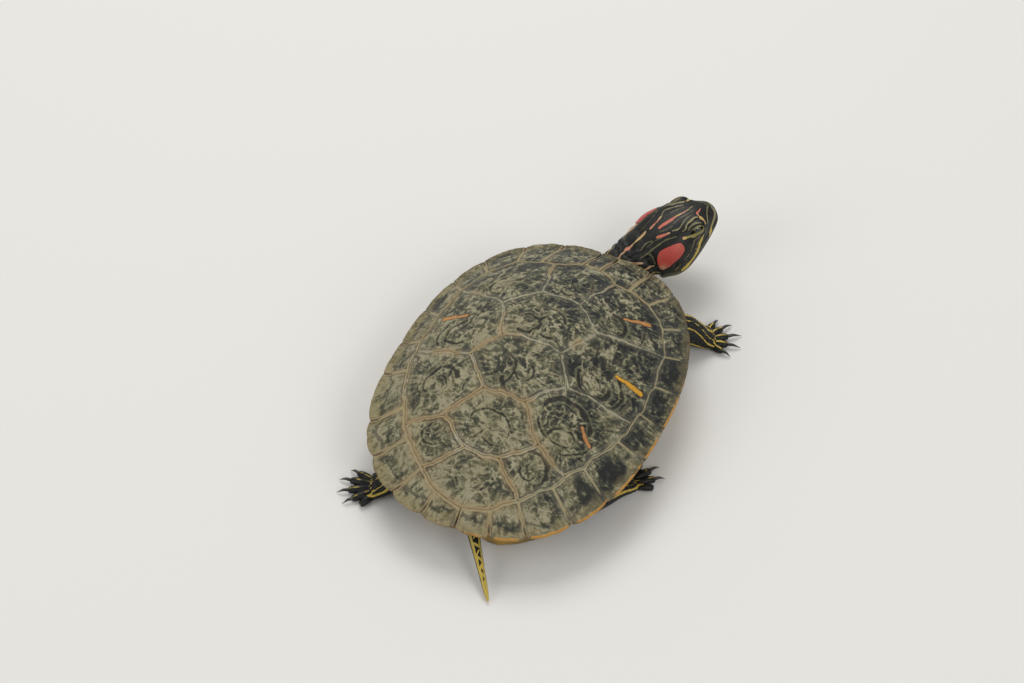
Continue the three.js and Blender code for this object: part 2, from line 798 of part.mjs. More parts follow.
const tailShape = { sides: 8 };
const wholeTail = loft(tailStations, tailShape).intersect(aboveGround);
const tailPastCut = (share) => wholeTail.intersect(spaceAlong(tailStations, share, cut / 2));
add("tail_root", tailPastCut(tailCuts[0]).subtract(spaceAlong(tailStations, tailCuts[1], -cut / 2)), "skin");
add("tail_tip", tailPastCut(tailCuts[1]), "skin");
makeRoom(tailStations, tailCuts[0], tailShape);

const headAndNeck = headSolid().add(loft(neckStations));
const neckEnd = head.length - 6;
const behindHead = (shift) => spacePast(headPoint(neckEnd + shift, 0, 0), backwards);
const neckPastRoot = spaceAlong(neckStations, neckRoot, cut / 2);
add("neck", headAndNeck.intersect(behindHead(cut / 2)).intersect(neckPastRoot), "skin");
makeRoom(neckStations, neckRoot);
let skull = headAndNeck.subtract(behindHead(-cut / 2));
for (const side of [1, -1]) {
  skull = skull.subtract(eyeSphere(side, head.eyeRadius + cut));
  add(side > 0 ? "eye_left" : "eye_right", eyeSphere(side, head.eyeRadius), "eye");
}
add("lower_jaw", skull.intersect(jawSpace(0)), "skin");
add("head", skull.subtract(jawSpace(cut)), "skin");
add("trunk", body, "skin");

export default turtle;
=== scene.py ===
import math
import bpy
import numpy as np
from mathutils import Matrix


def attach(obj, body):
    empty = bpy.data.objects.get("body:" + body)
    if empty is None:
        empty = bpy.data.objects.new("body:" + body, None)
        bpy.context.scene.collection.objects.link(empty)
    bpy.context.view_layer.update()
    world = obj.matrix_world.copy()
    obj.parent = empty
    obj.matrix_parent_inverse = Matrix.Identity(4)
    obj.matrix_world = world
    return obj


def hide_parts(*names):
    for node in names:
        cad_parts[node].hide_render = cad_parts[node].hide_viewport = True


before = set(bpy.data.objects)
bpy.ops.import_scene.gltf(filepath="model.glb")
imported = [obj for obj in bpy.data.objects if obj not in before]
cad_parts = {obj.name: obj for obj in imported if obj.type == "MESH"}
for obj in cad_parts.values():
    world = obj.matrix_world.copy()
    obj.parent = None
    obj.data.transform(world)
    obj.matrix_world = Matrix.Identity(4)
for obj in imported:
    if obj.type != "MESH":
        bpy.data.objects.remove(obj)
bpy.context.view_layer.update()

# A red-eared slider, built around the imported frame. Shapes are worked out in millimetres:
# the turtle faces -Y, its left is +X, and the ground is at height 0.
mm = 0.001
scene = bpy.context.scene


# Numbers and arrays

# 0 below low, 1 above high and 3s^2 - 2s^3 between, where s is the share of the way.
def smoothStep(value, low, high):
    share = np.clip((value - low) / (high - low), 0, 1)
    return share * share * (3 - 2 * share)


# Each vector divided by its own length.
def unit(vectors):
    return vectors / np.maximum(np.linalg.norm(vectors, axis=-1, keepdims=True), 1e-9)


# Value noise: random numbers on a cubic lattice, blended smoothly between its corners, 0 to 1.
def latticeNoise(points, size, seed=0):
    table = np.random.default_rng(seed).random(4096)
    scaled = points / size
    base = np.floor(scaled).astype(np.int64)
    part = scaled - base
    part = part * part * (3 - 2 * part)
    total = 0
    for i in (0, 1):
        for j in (0, 1):
            for k in (0, 1):
                key = (base[..., 0] + i) * 73856093 ^ (base[..., 1] + j) * 19349663 ^ (base[..., 2]
                    + k) * 83492791
                weight = 1
                for axis, step in enumerate((i, j, k)):
                    weight = weight * (part[..., axis] if step else 1 - part[..., axis])
                total = total + weight * table[key & 4095]
    return total


# Several sizes of the same noise added up, each half as large and half as strong as the last.
def layeredNoise(points, size, layers=3, seed=0):
    total, weight, reach = 0, 1, 0
    for layer in range(layers):
        total = total + weight * latticeNoise(points, size / 2 ** layer, seed + layer)
        reach += weight
        weight *= 0.5
    return total / reach


# Distance from every point to a broken line, worked out for all of its stretches at once.
def distanceToLine(points, line):
    start, along = line[:-1], line[1:] - line[:-1]
    fromStart = points[..., None, :] - start
    share = np.clip((fromStart * along).sum(-1) / np.maximum((along * along).sum(-1), 1e-9), 0, 1)
    return np.linalg.norm(fromStart - share[..., None] * along, axis=-1).min(-1)


# A smooth curve through stations: Catmull-Rom on every column, read at shares from 0 to 1.
def readStations(stations, shares):
    table = np.asarray(stations, float)
    last = len(table) - 1
    place = np.clip(np.asarray(shares, float), 0, 1) * last
    i = np.clip(np.floor(place).astype(int), 0, last - 1)
    t = (place - i)[..., None]
    before, here = table[np.maximum(i - 1, 0)], table[i]
    there, after = table[i + 1], table[np.minimum(i + 2, last)]
    slopeHere, slopeThere = (there - before) / 2, (after - here) / 2
    ends = here * (2 * t ** 3 - 3 * t ** 2 + 1) + there * (3 * t ** 2 - 2 * t ** 3)
    return ends + slopeHere * (t ** 3 - 2 * t ** 2 + t) + slopeThere * (t ** 3 - t ** 2)


# Meshes

# A mesh from points in millimetres and faces given as rows of corner numbers.
def makeMesh(name, points, faceLists):
    mesh = bpy.data.meshes.new(name)
    counts = np.concatenate([np.full(len(faces), faces.shape[1]) for faces in faceLists])
    corners = np.concatenate([faces.ravel() for faces in faceLists])
    mesh.vertices.add(len(points))
    mesh.vertices.foreach_set("co", (points * mm).ravel())
    mesh.loops.add(len(corners))
    mesh.loops.foreach_set("vertex_index", corners)
    mesh.polygons.add(len(counts))
    mesh.polygons.foreach_set("loop_start", np.concatenate([[0], np.cumsum(counts)[:-1]]))
    mesh.polygons.foreach_set("loop_total", counts)
    mesh.update(calc_edges=True)
    mesh.shade_smooth()
    piece = bpy.data.objects.new(name, mesh)
    scene.collection.objects.link(piece)
    return piece


# Faces of a closed tube: rings joined by quads, and a fan of triangles to a point at either end.
# They are turned round where the volume comes out negative, so that they always point out.
def tubeFaces(points, rings, around, firstEnd, lastEnd):
    here = np.arange(around)
    beside = (here + 1) % around
    start = (np.arange(rings - 1) * around)[:, None]
    quads = np.stack([start + here, start + beside, start + around + beside, start + around + here], -1)
    quads = quads.reshape(-1, 4)
    tail = (rings - 1) * around
    fans = np.concatenate([np.stack([beside, here, np.full(around, firstEnd)], -1),
                           np.stack([tail + here, tail + beside, np.full(around, lastEnd)], -1)])
    triangles = np.concatenate([quads[:, [0, 1, 2]], quads[:, [0, 2, 3]], fans])
    a, b, c = (points[triangles[:, n]] for n in range(3))
    if (a * np.cross(b, c)).sum() < 0:
        quads, fans = quads[:, ::-1], fans[:, ::-1]
    return [quads, fans]


# A closed tube from its rings, an array of rings by points around by 3.
def tubePoints(rings):
    ends = rings[[0, -1]].mean(1)
    return np.concatenate([rings.reshape(-1, 3), ends])


# A closed piece from a stack of rings, capped at both ends.
def makeTube(name, rings):
    points = tubePoints(rings)
    count = rings.shape[0] * rings.shape[1]
    return makeMesh(name, points, tubeFaces(points, rings.shape[0], rings.shape[1], count, count + 1))


# Stores a number at every point, which the materials read by its name.
def setField(piece, name, values):
    field = piece.data.attributes.new(name, "FLOAT", "POINT")
    field.data.foreach_set("value", np.asarray(values, np.float32).ravel())


# A piece's points in millimetres.
def pointsOf(piece):
    flat = np.empty(len(piece.data.vertices) * 3)
    piece.data.vertices.foreach_get("co", flat)
    return flat.reshape(-1, 3) / mm


# A finished piece: its material and what it stands for; the slot is not used.
def settle(piece, material, slot, *nodes):
    piece.data.materials.clear()
    piece.data.materials.append(material)
    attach(piece, "root")
    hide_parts(*nodes)
    return piece


# Material helpers

# A hex code as linear light, each channel by the sRGB curve, fully opaque.
def colour(code):
    parts = [int(code[i:i + 2], 16) / 255 for i in (0, 2, 4)]
    return [c / 12.92 if c <= 0.04045 else ((c + 0.055) / 1.055) ** 2.4 for c in parts] + [1]


# Links a value that changes over the surface, or writes a fixed one.
def feed(tree, socket, value):
    if isinstance(value, bpy.types.NodeSocket):
        tree.links.new(value, socket)
    else:
        socket.default_value = value


# One Math node on up to three values.
def calc(tree, operation, a, b=0.0, c=None, clamp=False):
    node = tree.nodes.new("ShaderNodeMath")
    node.operation = operation
    node.use_clamp = clamp
    for socket, value in zip(node.inputs, (a, b, c)):
        if value is not None:
            feed(tree, socket, value)
    return node.outputs[0]


# Two values multiplied.
def times(tree, a, b, clamp=False):
    return calc(tree, "MULTIPLY", a, b, clamp=clamp)


# The second value taken from the first.
def lessBy(tree, a, b, clamp=False):
    return calc(tree, "SUBTRACT", a, b, clamp=clamp)


# Two values multiplied and a third added.
def timesPlus(tree, a, b, c, clamp=False):
    return calc(tree, "MULTIPLY_ADD", a, b, c, clamp=clamp)


# 0 below low, 1 above high and a smooth step between; low above high turns it round.
def step(tree, value, low, high):
    node = tree.nodes.new("ShaderNodeMapRange")
    node.interpolation_type = "SMOOTHSTEP"
    feed(tree, node.inputs["Value"], value)
    turned = low > high
    node.inputs["From Min"].default_value = min(low, high)
    node.inputs["From Max"].default_value = max(low, high)
    node.inputs["To Min"].default_value = 1.0 if turned else 0.0
    node.inputs["To Max"].default_value = 0.0 if turned else 1.0
    return node.outputs["Result"]


# Colour a, turned towards colour b by the share.
def blend(tree, share, a, b):
    node = tree.nodes.new("ShaderNodeMix")
    node.data_type = "RGBA"
    feed(tree, node.inputs["Factor"], share)
    feed(tree, node.inputs["A"], a)
    feed(tree, node.inputs["B"], b)
    return node.outputs["Result"]


# A colour for each value, blended between stops of a place and a hex code.
def tintRamp(tree, value, stops):
    node = tree.nodes.new("ShaderNodeValToRGB")
    ramp = node.color_ramp
    while len(ramp.elements) < len(stops):
        ramp.elements.new(0.5)
    for element, (place, code) in zip(ramp.elements, stops):
        element.position = place
        element.color = colour(code)
    feed(tree, node.inputs["Fac"], value)
    return node.outputs["Color"]


# One of the numbers that setField stored.
def readField(tree, name):
    node = tree.nodes.new("ShaderNodeAttribute")
    node.attribute_name = name
    return node.outputs["Fac"]


# The place on the object.
def placeIn(tree):
    return tree.nodes.new("ShaderNodeTexCoord").outputs["Object"]


# Noise at a place, finer as its scale grows.
def noiseOf(tree, place, scale, detail=3.0, roughness=0.55, distortion=0.0):
    node = tree.nodes.new("ShaderNodeTexNoise")
    feed(tree, node.inputs["Vector"], place)
    node.inputs["Scale"].default_value = scale
    node.inputs["Detail"].default_value = detail
    node.inputs["Roughness"].default_value = roughness
    node.inputs["Distortion"].default_value = distortion
    return node.outputs["Fac"]


# A new material, its node tree and its Principled shader.
def newMaterial(name):
    material = bpy.data.materials.new(name)
    material.use_nodes = True
    tree = material.node_tree
    return material, tree, tree.nodes["Principled BSDF"]


# A bump from a height, its distance in millimetres, over another normal if one is given.
def bumpOf(tree, height, distance, strength=1.0, normal=None):
    node = tree.nodes.new("ShaderNodeBump")
    node.inputs["Distance"].default_value = distance * mm
    node.inputs["Strength"].default_value = strength
    feed(tree, node.inputs["Height"], height)
    if normal is not None:
        tree.links.new(normal, node.inputs["Normal"])
    return node.outputs["Normal"]


# Places a node group and feeds its inputs by name.
def useGroup(tree, group, **values):
    node = tree.nodes.new("ShaderNodeGroup")
    node.node_tree = group
    for name, value in values.items():
        feed(tree, node.inputs[name], value)
    return node.outputs


# Silt and squiggles, shared by all the horn: fine branching lines, larger cloudy patches and specks.
def siltGroup():
    group = bpy.data.node_groups.new("siltAndSquiggles", "ShaderNodeTree")
    face = group.interface
    face.new_socket("Place", in_out="INPUT", socket_type="NodeSocketVector")
    for name, value in (("Size", 2.6), ("Line", 0.05), ("Cover", 0.5)):
        face.new_socket(name, in_out="INPUT", socket_type="NodeSocketFloat").default_value = value
    for name in ("Squiggles", "Clouds", "Specks"):
        face.new_socket(name, in_out="OUTPUT", socket_type="NodeSocketFloat")
    taken = group.nodes.new("NodeGroupInput").outputs
    given = group.nodes.new("NodeGroupOutput").inputs
    scale = calc(group, "DIVIDE", 1 / mm, taken["Size"])
    lines = group.nodes.new("ShaderNodeTexNoise")
    lines.inputs["Detail"].default_value = 2.5
    lines.inputs["Distortion"].default_value = 0.7
    feed(group, lines.inputs["Vector"], taken["Place"])
    feed(group, lines.inputs["Scale"], calc(group, "MULTIPLY", scale, 0.42))
    away = calc(group, "ABSOLUTE", calc(group, "SUBTRACT", lines.outputs["Fac"], 0.5))
    inLine = calc(group, "SUBTRACT", 1.0, calc(group, "DIVIDE", away, taken["Line"]), clamp=True)
    feed(group, given["Squiggles"], inLine)
    clouds = group.nodes.new("ShaderNodeTexNoise")
    clouds.inputs["Detail"].default_value = 4.0
    clouds.inputs["Roughness"].default_value = 0.62
    feed(group, clouds.inputs["Vector"], taken["Place"])
    feed(group, clouds.inputs["Scale"], calc(group, "MULTIPLY", scale, 0.16))
    low = calc(group, "SUBTRACT", clouds.outputs["Fac"], taken["Cover"])
    feed(group, given["Clouds"], calc(group, "MULTIPLY_ADD", low, 5.0, 0.5, clamp=True))
    specks = group.nodes.new("ShaderNodeTexNoise")
    specks.inputs["Detail"].default_value = 3.0
    specks.inputs["Roughness"].default_value = 0.7
    feed(group, specks.inputs["Vector"], taken["Place"])
    feed(group, specks.inputs["Scale"], calc(group, "MULTIPLY", scale, 2.2))
    feed(group, given["Specks"], specks.outputs["Fac"])
    return group


silt = siltGroup()
print("helpers ready")


# The carapace

shell = {
    "length": 210.0, "width": 152.0, "leftStretch": 1.055, "squareness": 2.43, "rearSpread": 0.013,
    "rimHeight": 29.0, "frontRise": 5.0, "rearRise": -4.0, "dome": 42.2, "roundness": 1.89,
    "sideFlare": 1.23, "frontFlare": 1.04, "rearFlare": 1.29,
    # the surface lies this far inside the solid's, so that ridges stay within it
    "thickness": 2.2, "sink": 0.3,
    "saw": 2.2, "seamHalf": 0.07,
}


# Half the shell's width at y, which grows in proportion to y.
def halfWidthAt(y):
    return shell["width"] / 2 * (1 + shell["rearSpread"] * y / (shell["length"] / 2))


# How far out a point lies, 0 on the middle line and 1 at the edge, measured on a superellipse.
def shellReach(x, y):
    p = shell["squareness"]
    even = np.where(x > 0, x / shell["leftStretch"], x)
    return (np.abs(even / halfWidthAt(y)) ** p + np.abs(2 * y / shell["length"]) ** p) ** (1 / p)


# The smooth carapace: a rim, raised in front and lowered behind, plus a dome that falls off with the reach.
def shellHeight(x, y):
    r = np.maximum(shellReach(x, y), 1e-6)
    lengthwise = 2 * y / shell["length"] / r
    front, rear = np.clip(-lengthwise, 0, 1) ** 2, np.clip(lengthwise, 0, 1) ** 2
    flare = shell["sideFlare"] + (shell["frontFlare"] - shell["sideFlare"]) * front
    flare = flare + (shell["rearFlare"] - shell["sideFlare"]) * rear
    edge = shell["rimHeight"] + (shell["frontRise"] * front + shell["rearRise"] * rear) * np.minimum(r,
        1) ** 2
    return edge + shell["dome"] * np.maximum(1 - r ** shell["roundness"], 0) ** flare - shell["sink"]


# The shell's outward direction: minus its slope each way and 1 upwards, at unit length.
def shellNormal(x, y):
    d = 0.5
    slopeX = (shellHeight(x + d, y) - shellHeight(x - d, y)) / (2 * d)
    slopeY = (shellHeight(x, y + d) - shellHeight(x, y - d)) / (2 * d)
    return unit(np.stack([-slopeX, -slopeY, np.ones_like(slopeX)], -1))


# Points seen from above, lifted to the height of the shell there.
def onShell(points):
    return np.concatenate([points, shellHeight(points[..., 0], points[..., 1])[..., None]], -1)


# The point on the edge in a direction: 0 is the front and half a turn the rear.
def edgePoint(angle):
    power = 2 / shell["squareness"]
    y = -np.sign(np.cos(angle)) * np.abs(np.cos(angle)) ** power * shell["length"] / 2
    x = np.sign(np.sin(angle)) * np.abs(np.sin(angle)) ** power * halfWidthAt(y)
    return np.stack([np.where(x > 0, x * shell["leftStretch"], x), y], -1)


# Seams on the turtle's left, seen from above, before the left side is stretched.
seamCorners = {
    "nuchal": (5, -79.5), "first": (18, -70.5), "vertebral12": (10.5, -38), "costal12": (27, -24),
    "vertebral23": (17, 1.5), "costal23": (28, 18), "vertebral34": (11.5, 37), "costal34": (27, 54),
    "vertebral45": (10, 68), "last": (0, 94.5),
}
marginCorners = [(5, -79.5), (26, -70.5), (38, -69), (51, -59), (58.5, -42), (62, -21), (63, 1), (60.5, 24.5),
                 (51, 50), (41, 68), (27.5, 81.5), (15.5, 90.5), (0, 94.5)]
marginAngles = np.radians([2.1, 15.3, 31, 49.3, 63.7, 77.7, 89.4, 98.7, 118, 134.5, 154, 169, 180])


# A place between two corners of the marginals' seam, by its share of the way.
def onMargin(number, share):
    start, end = np.array(marginCorners[number], float), np.array(marginCorners[number + 1], float)
    return tuple(start + (end - start) * share)


# Seams wander a little: both neighbours read the same gentle push, so they still meet.
def wander(points):
    x, y = points[..., 0], points[..., 1]
    push = np.stack([0.5 * np.sin(0.33 * y + 0.12 * x + 0.8) + 0.22 * np.sin(0.71 * y - 0.5 * x),
                     0.5 * np.sin(0.36 * x - 0.1 * y + 2.1) + 0.22 * np.sin(0.83 * x + 0.4 * y)], -1)
    return points + push * smoothStep(0.97 - shellReach(x, y), 0, 0.2)[..., None]


# From the even outline to the real one: stretched on the left, then pushed about.
def settleSeam(points):
    stretched = points.copy()
    stretched[..., 0] = np.where(points[..., 0] > 0, points[..., 0] * shell["leftStretch"], points[..., 0])
    return wander(stretched)


# Every scute's corners in order; the right side's are the left's with x turned round.
def scuteOutlines():
    c = seamCorners
    edge23, edge34 = onMargin(6, 0.38), onMargin(8, 0.55)
    m = marginCorners

    def mirrored(points):
        return [(-x, y) for x, y in points][::-1]

    outlines = {}
    rows = [("nuchal", "first", "vertebral12"), ("vertebral12", "costal12", "vertebral23"),
            ("vertebral23", "costal23", "vertebral34"), ("vertebral34", "costal34", "vertebral45")]
    for number, names in enumerate(rows, 1):
        left = [c[name] for name in names]
        outlines[f"vertebral_{number}"] = left + mirrored(left)
    outlines["vertebral_5"] = [c["vertebral45"], m[10], m[11],
        c["last"]] + mirrored([c["vertebral45"], m[10], m[11]])
    lefts = [[c["first"], *m[1:5], c["costal12"], c["vertebral12"]],
             [c["costal12"], *m[4:7], edge23, c["costal23"], c["vertebral23"]],
             [c["costal23"], edge23, *m[7:9], edge34, c["costal34"], c["vertebral34"]],
             [c["costal34"], edge34, *m[9:11], c["vertebral45"]]]
    for number, left in enumerate(lefts, 1):
        outlines[f"costal_left_{number}"] = left
        outlines[f"costal_right_{number}"] = mirrored(left)
    return outlines


# Each scute's middle of growth, and the marks on it: dark arcs (centre, radii, turn, from and to in degrees),
# and warm streaks (from, to, half width). All are seen from above.
scuteMarks = {
    "vertebral_1": {"middle": (0, -52), "arcs": [((-2, -53), (9, 11), 10, 20, 330, 0.4)]},
    "vertebral_2": {"middle": (1, -12), "arcs": [((8, -9), (7, 6.5), 0, 60, 300, 0.9),
        ((-4, -11), (6, 8), 20, -70, 120, 0.7),
                                                ((2, -14), (14, 12), 0, 200, 320, 0.5)]},
    "vertebral_3": {"middle": (-3, 22), "arcs": [((-4, 22), (6, 5), 0, 0, 250, 0.6),
        ((-5, 25), (12, 12), 0, 20, 160, 1.3),
                                                ((8, 24), (7, 9), 0, 100, 250, 0.6)]},
    "vertebral_4": {"middle": (0, 54), "arcs": [((-3, 57), (7, 6), 0, 10, 220, 0.5),
        ((2, 56), (13, 9), 0, 190, 330, 0.6)]},
    "vertebral_5": {"middle": (0, 80), "arcs": [((0, 80), (9, 6), 0, 20, 160, 0.4)]},
    "costal_right_1": {"middle": (-28, -38), "arcs": [((-30, -36), (8, 8), 0, 95, 285, 1.2),
        ((-30, -36), (5, 5), 0, 0, 170, 0.4),
                                                    ((-33, -40), (14, 17), 0, 140, 200, 0.4)],
                     "streaks": [((-34, -45.5), (-39, -49.5), 0.9, 0.15),
                                 ((-39, -49.5), (-45, -54.5), 1.3, 0.15)]},
    "costal_right_2": {"middle": (-36, 6), "arcs": [((-38, 6), (8.5, 8), 0, -10, 200, 1.0),
        ((-37, 7), (5, 5), 0, 20, 330, 0.6),
                                                  ((-40, 4), (13, 12), 0, 100, 240, 0.9),
                                                  ((-41, 4), (16, 15), 0, 120, 200, 0.5)],
                     "streaks": [((-45.5, -7.5), (-52, -9), 1.0, 1.0),
                                 ((-51, -8.8), (-58.5, -10.5), 1.55, 1.0)]},
    "costal_right_3": {"middle": (-34, 41), "arcs": [((-34.5, 36.5), (13.5, 12), 20, 175, 320, 1.35),
        ((-34.5, 36.5), (13.5, 12), 20, 320, 410, 0.7),
                                                   ((-36.3, 44), (7, 4.2), 24, 0, 360, 0.6),
                                                   ((-34.5, 37), (16, 15), 20, 60, 150, 0.5)],
                     "streaks": [((-43, 32.5), (-45.5, 35.5), 0.9, 0.0),
                                 ((-45.5, 35.5), (-50, 38), 1.1, 0.0)]},
    "costal_right_4": {"middle": (-26, 66), "arcs": [((-28, 66), (9, 8), 0, 130, 300, 1.1),
        ((-27, 67), (4.5, 4), 0, 0, 250, 0.5)]},
    "costal_left_1": {"middle": (32, -42), "arcs": [((34, -41), (9, 9), 0, -60, 60, 0.7),
        ((34, -41), (13, 14), 0, -40, 50, 0.6)]},
    "costal_left_2": {"middle": (40, 0), "arcs": [((42, 0), (9, 9), 0, -80, 110, 0.9),
        ((42, -1), (14, 14), 0, -60, 60, 0.6)],
                    "streaks": [((60, -15.5), (53, -14.6), 1.5, 0.15), ((53, -14.6), (46, -14), 1.1, 0.15)]},
    "costal_left_3": {"middle": (38, 36), "arcs": [((39, 35), (9.5, 9), 0, -165, -35, 1.15),
        ((39, 35), (9.5, 9), 0, -35, 55, 0.6), ((40, 37), (5, 5), 0, 100, 330, 0.5)]},
    "costal_left_4": {"middle": (28, 64), "arcs": [((29, 64), (7, 6), 0, -60, 120, 0.6)]},
}
scuteLook = {
    "around": 260, "topRings": 46, "edgeRings": 4, "underRings": 4,
    "crown": 0.25, "seamDepth": 0.42, "seamReach": 1.0, "bark": 0.5, "arcDip": 0.3, "highest": 0.28,
}


# Weathered horn: blotchy wrinkles, pulled into lines that leave the seam near it, and rings of growth.
# Each sample is noise read at a pushed-about place; 0 is the bottom of a furrow and 1 the top of a ridge.
def barkOf(at, seamPoints, edge, seed=3):
    push = np.stack([layeredNoise(at, 4.2, 2, seed + n) for n in (20, 30, 40)], -1) - 0.5
    moved = at + push * 5.0
    crests = 1 - np.abs(2 * layeredNoise(moved, 3.4, 2, seed) - 1) * 2.4
    blotch = 0.62 * smoothStep(crests, 0.0, 1.0) + 0.38 * smoothStep(layeredNoise(moved, 1.7, 2, seed + 3),
        0.3, 0.7)
    lines = smoothStep(layeredNoise(seamPoints * [1, 1, 0] + at * 0.2 + push * 1.8, 1.3, 2, seed + 7), 0.3,
                       0.7)
    nearSeam = smoothStep(edge, 15, 4) * smoothStep(layeredNoise(at, 14.0, 1, seed + 9), 0.3, 0.65)
    growth = 0.5 + 0.5 * np.sin(2 * np.pi * (edge + 2.0 * push[..., 0]) / 2.4)
    growthShare = 0.22 * np.exp(-edge / 9)
    bark = blotch + (lines - blotch) * 0.5 * nearSeam
    return bark + (growth - bark) * growthShare


# An arc of an ellipse as a broken line, from its centre, radii, turn and reach in degrees.
def arcLine(centre, radii, turn, start, end, count=28):
    angle = np.radians(np.linspace(start, end, count))
    flat = np.stack([radii[0] * np.cos(angle), radii[1] * np.sin(angle)], -1)
    c, s = math.cos(math.radians(turn)), math.sin(math.radians(turn))
    return flat @ np.array([[c, s], [-s, c]]) + centre


# How deep inside its marks a point lies: the half width less the distance, the most over all marks.
# The place is pushed about and the width swells and thins, so that no mark has an even edge.
def insideMarks(points, lines, unevenness):
    push = np.stack([layeredNoise(points, 5.0, 2, n) for n in (51, 52, 53)], -1) - 0.5
    swell = unevenness * (layeredNoise(points, 3.0, 2, 54) - 0.45)
    moved = points + push * 2.2 * unevenness
    depths = [half * (1 + swell) + swell * 0.3 - distanceToLine(moved, onShell(line)) for line, half in lines]
    return np.clip(np.max(depths, 0), -6, 6) if depths else np.full(points.shape[:-1], -6.0)


# A scute: rings shrink from the seam towards the middle of growth on top, and again underneath.
# The top follows the carapace, drops into the seam and carries the bark; the arcs are shallow furrows.
def makeScute(name, outline, marks):
    look = scuteLook
    corners = np.array(outline + outline[:1], float)
    lengths = np.concatenate([[0], np.cumsum(np.linalg.norm(np.diff(corners, axis=0), axis=1))])
    places = (np.arange(look["around"]) + 0.5) / look["around"] * lengths[-1]
    ring = np.stack([np.interp(places, lengths, corners[:, axis]) for axis in (0, 1)], -1)
    seam = settleSeam(ring)
    for _ in range(2):
        seam = (np.roll(seam, 1, 0) + 2 * seam + np.roll(seam, -1, 0)) / 4
    middle = np.array(marks["middle"], float)
    outward = unit(seam - middle)
    seam = seam - outward * shell["seamHalf"]
    top = np.linspace(0.03, 1, look["topRings"]) ** 0.9
    flat = middle + (seam - middle) * top[:, None, None]
    at = onShell(flat)
    normal = shellNormal(flat[..., 0], flat[..., 1])
    edge = distanceToLine(flat, np.concatenate([seam, seam[:1]]))
    arcs = [(arcLine(*arc[:5]), arc[5]) for arc in marks.get("arcs", [])]
    streaks = [(np.array(streak[:2], float), streak[2]) for streak in marks.get("streaks", [])]
    inArc, inStreak = insideMarks(at, arcs, 1.4), insideMarks(at, streaks, 0.5)
    away = smoothStep(edge, 0, 3)
    bark = barkOf(at, onShell(seam)[None] + 0 * at, edge)
    relief = look["crown"] * (smoothStep(edge, 0, 12) - 1) + look["bark"] * (bark - 1) * away
    relief = relief - look["arcDip"] * smoothStep(inArc, -0.5,
        0.4) * away + 0.12 * np.exp(-((inArc + 1.1) / 0.5) ** 2)
    relief = relief - look["seamDepth"] * (1 - smoothStep(edge, 0, look["seamReach"]))
    upper = at + normal * np.minimum(relief + look["highest"], look["highest"])[..., None]
    rim = upper[-1]
    down = np.linspace(0, 1, look["edgeRings"] + 2)[1:-1, None, None]
    under = np.linspace(1, 0.05, look["underRings"])
    flatUnder = middle + (seam - middle) * under[:, None, None]
    lower = onShell(flatUnder) - shellNormal(flatUnder[..., 0], flatUnder[..., 1]) * shell["thickness"]
    side = rim + (lower[0] - rim) * down
    rings = np.concatenate([upper, side, lower])
    piece = makeTube(name, rings)
    hidden = len(side) + len(lower)

    def everywhere(values, rest):
        return np.concatenate([values.ravel(), np.full(hidden * look["around"], rest),
                               [values[0].mean(), rest]])

    setField(piece, "edge", everywhere(edge, 0))
    setField(piece, "bark", everywhere(bark, 0.3))
    setField(piece, "arc", everywhere(inArc, -6))
    setField(piece, "streak", everywhere(inStreak, -6))
    setField(piece, "streakTint", np.full(len(piece.data.vertices),
        marks["streaks"][0][3] if "streaks" in marks else 0))
    return piece
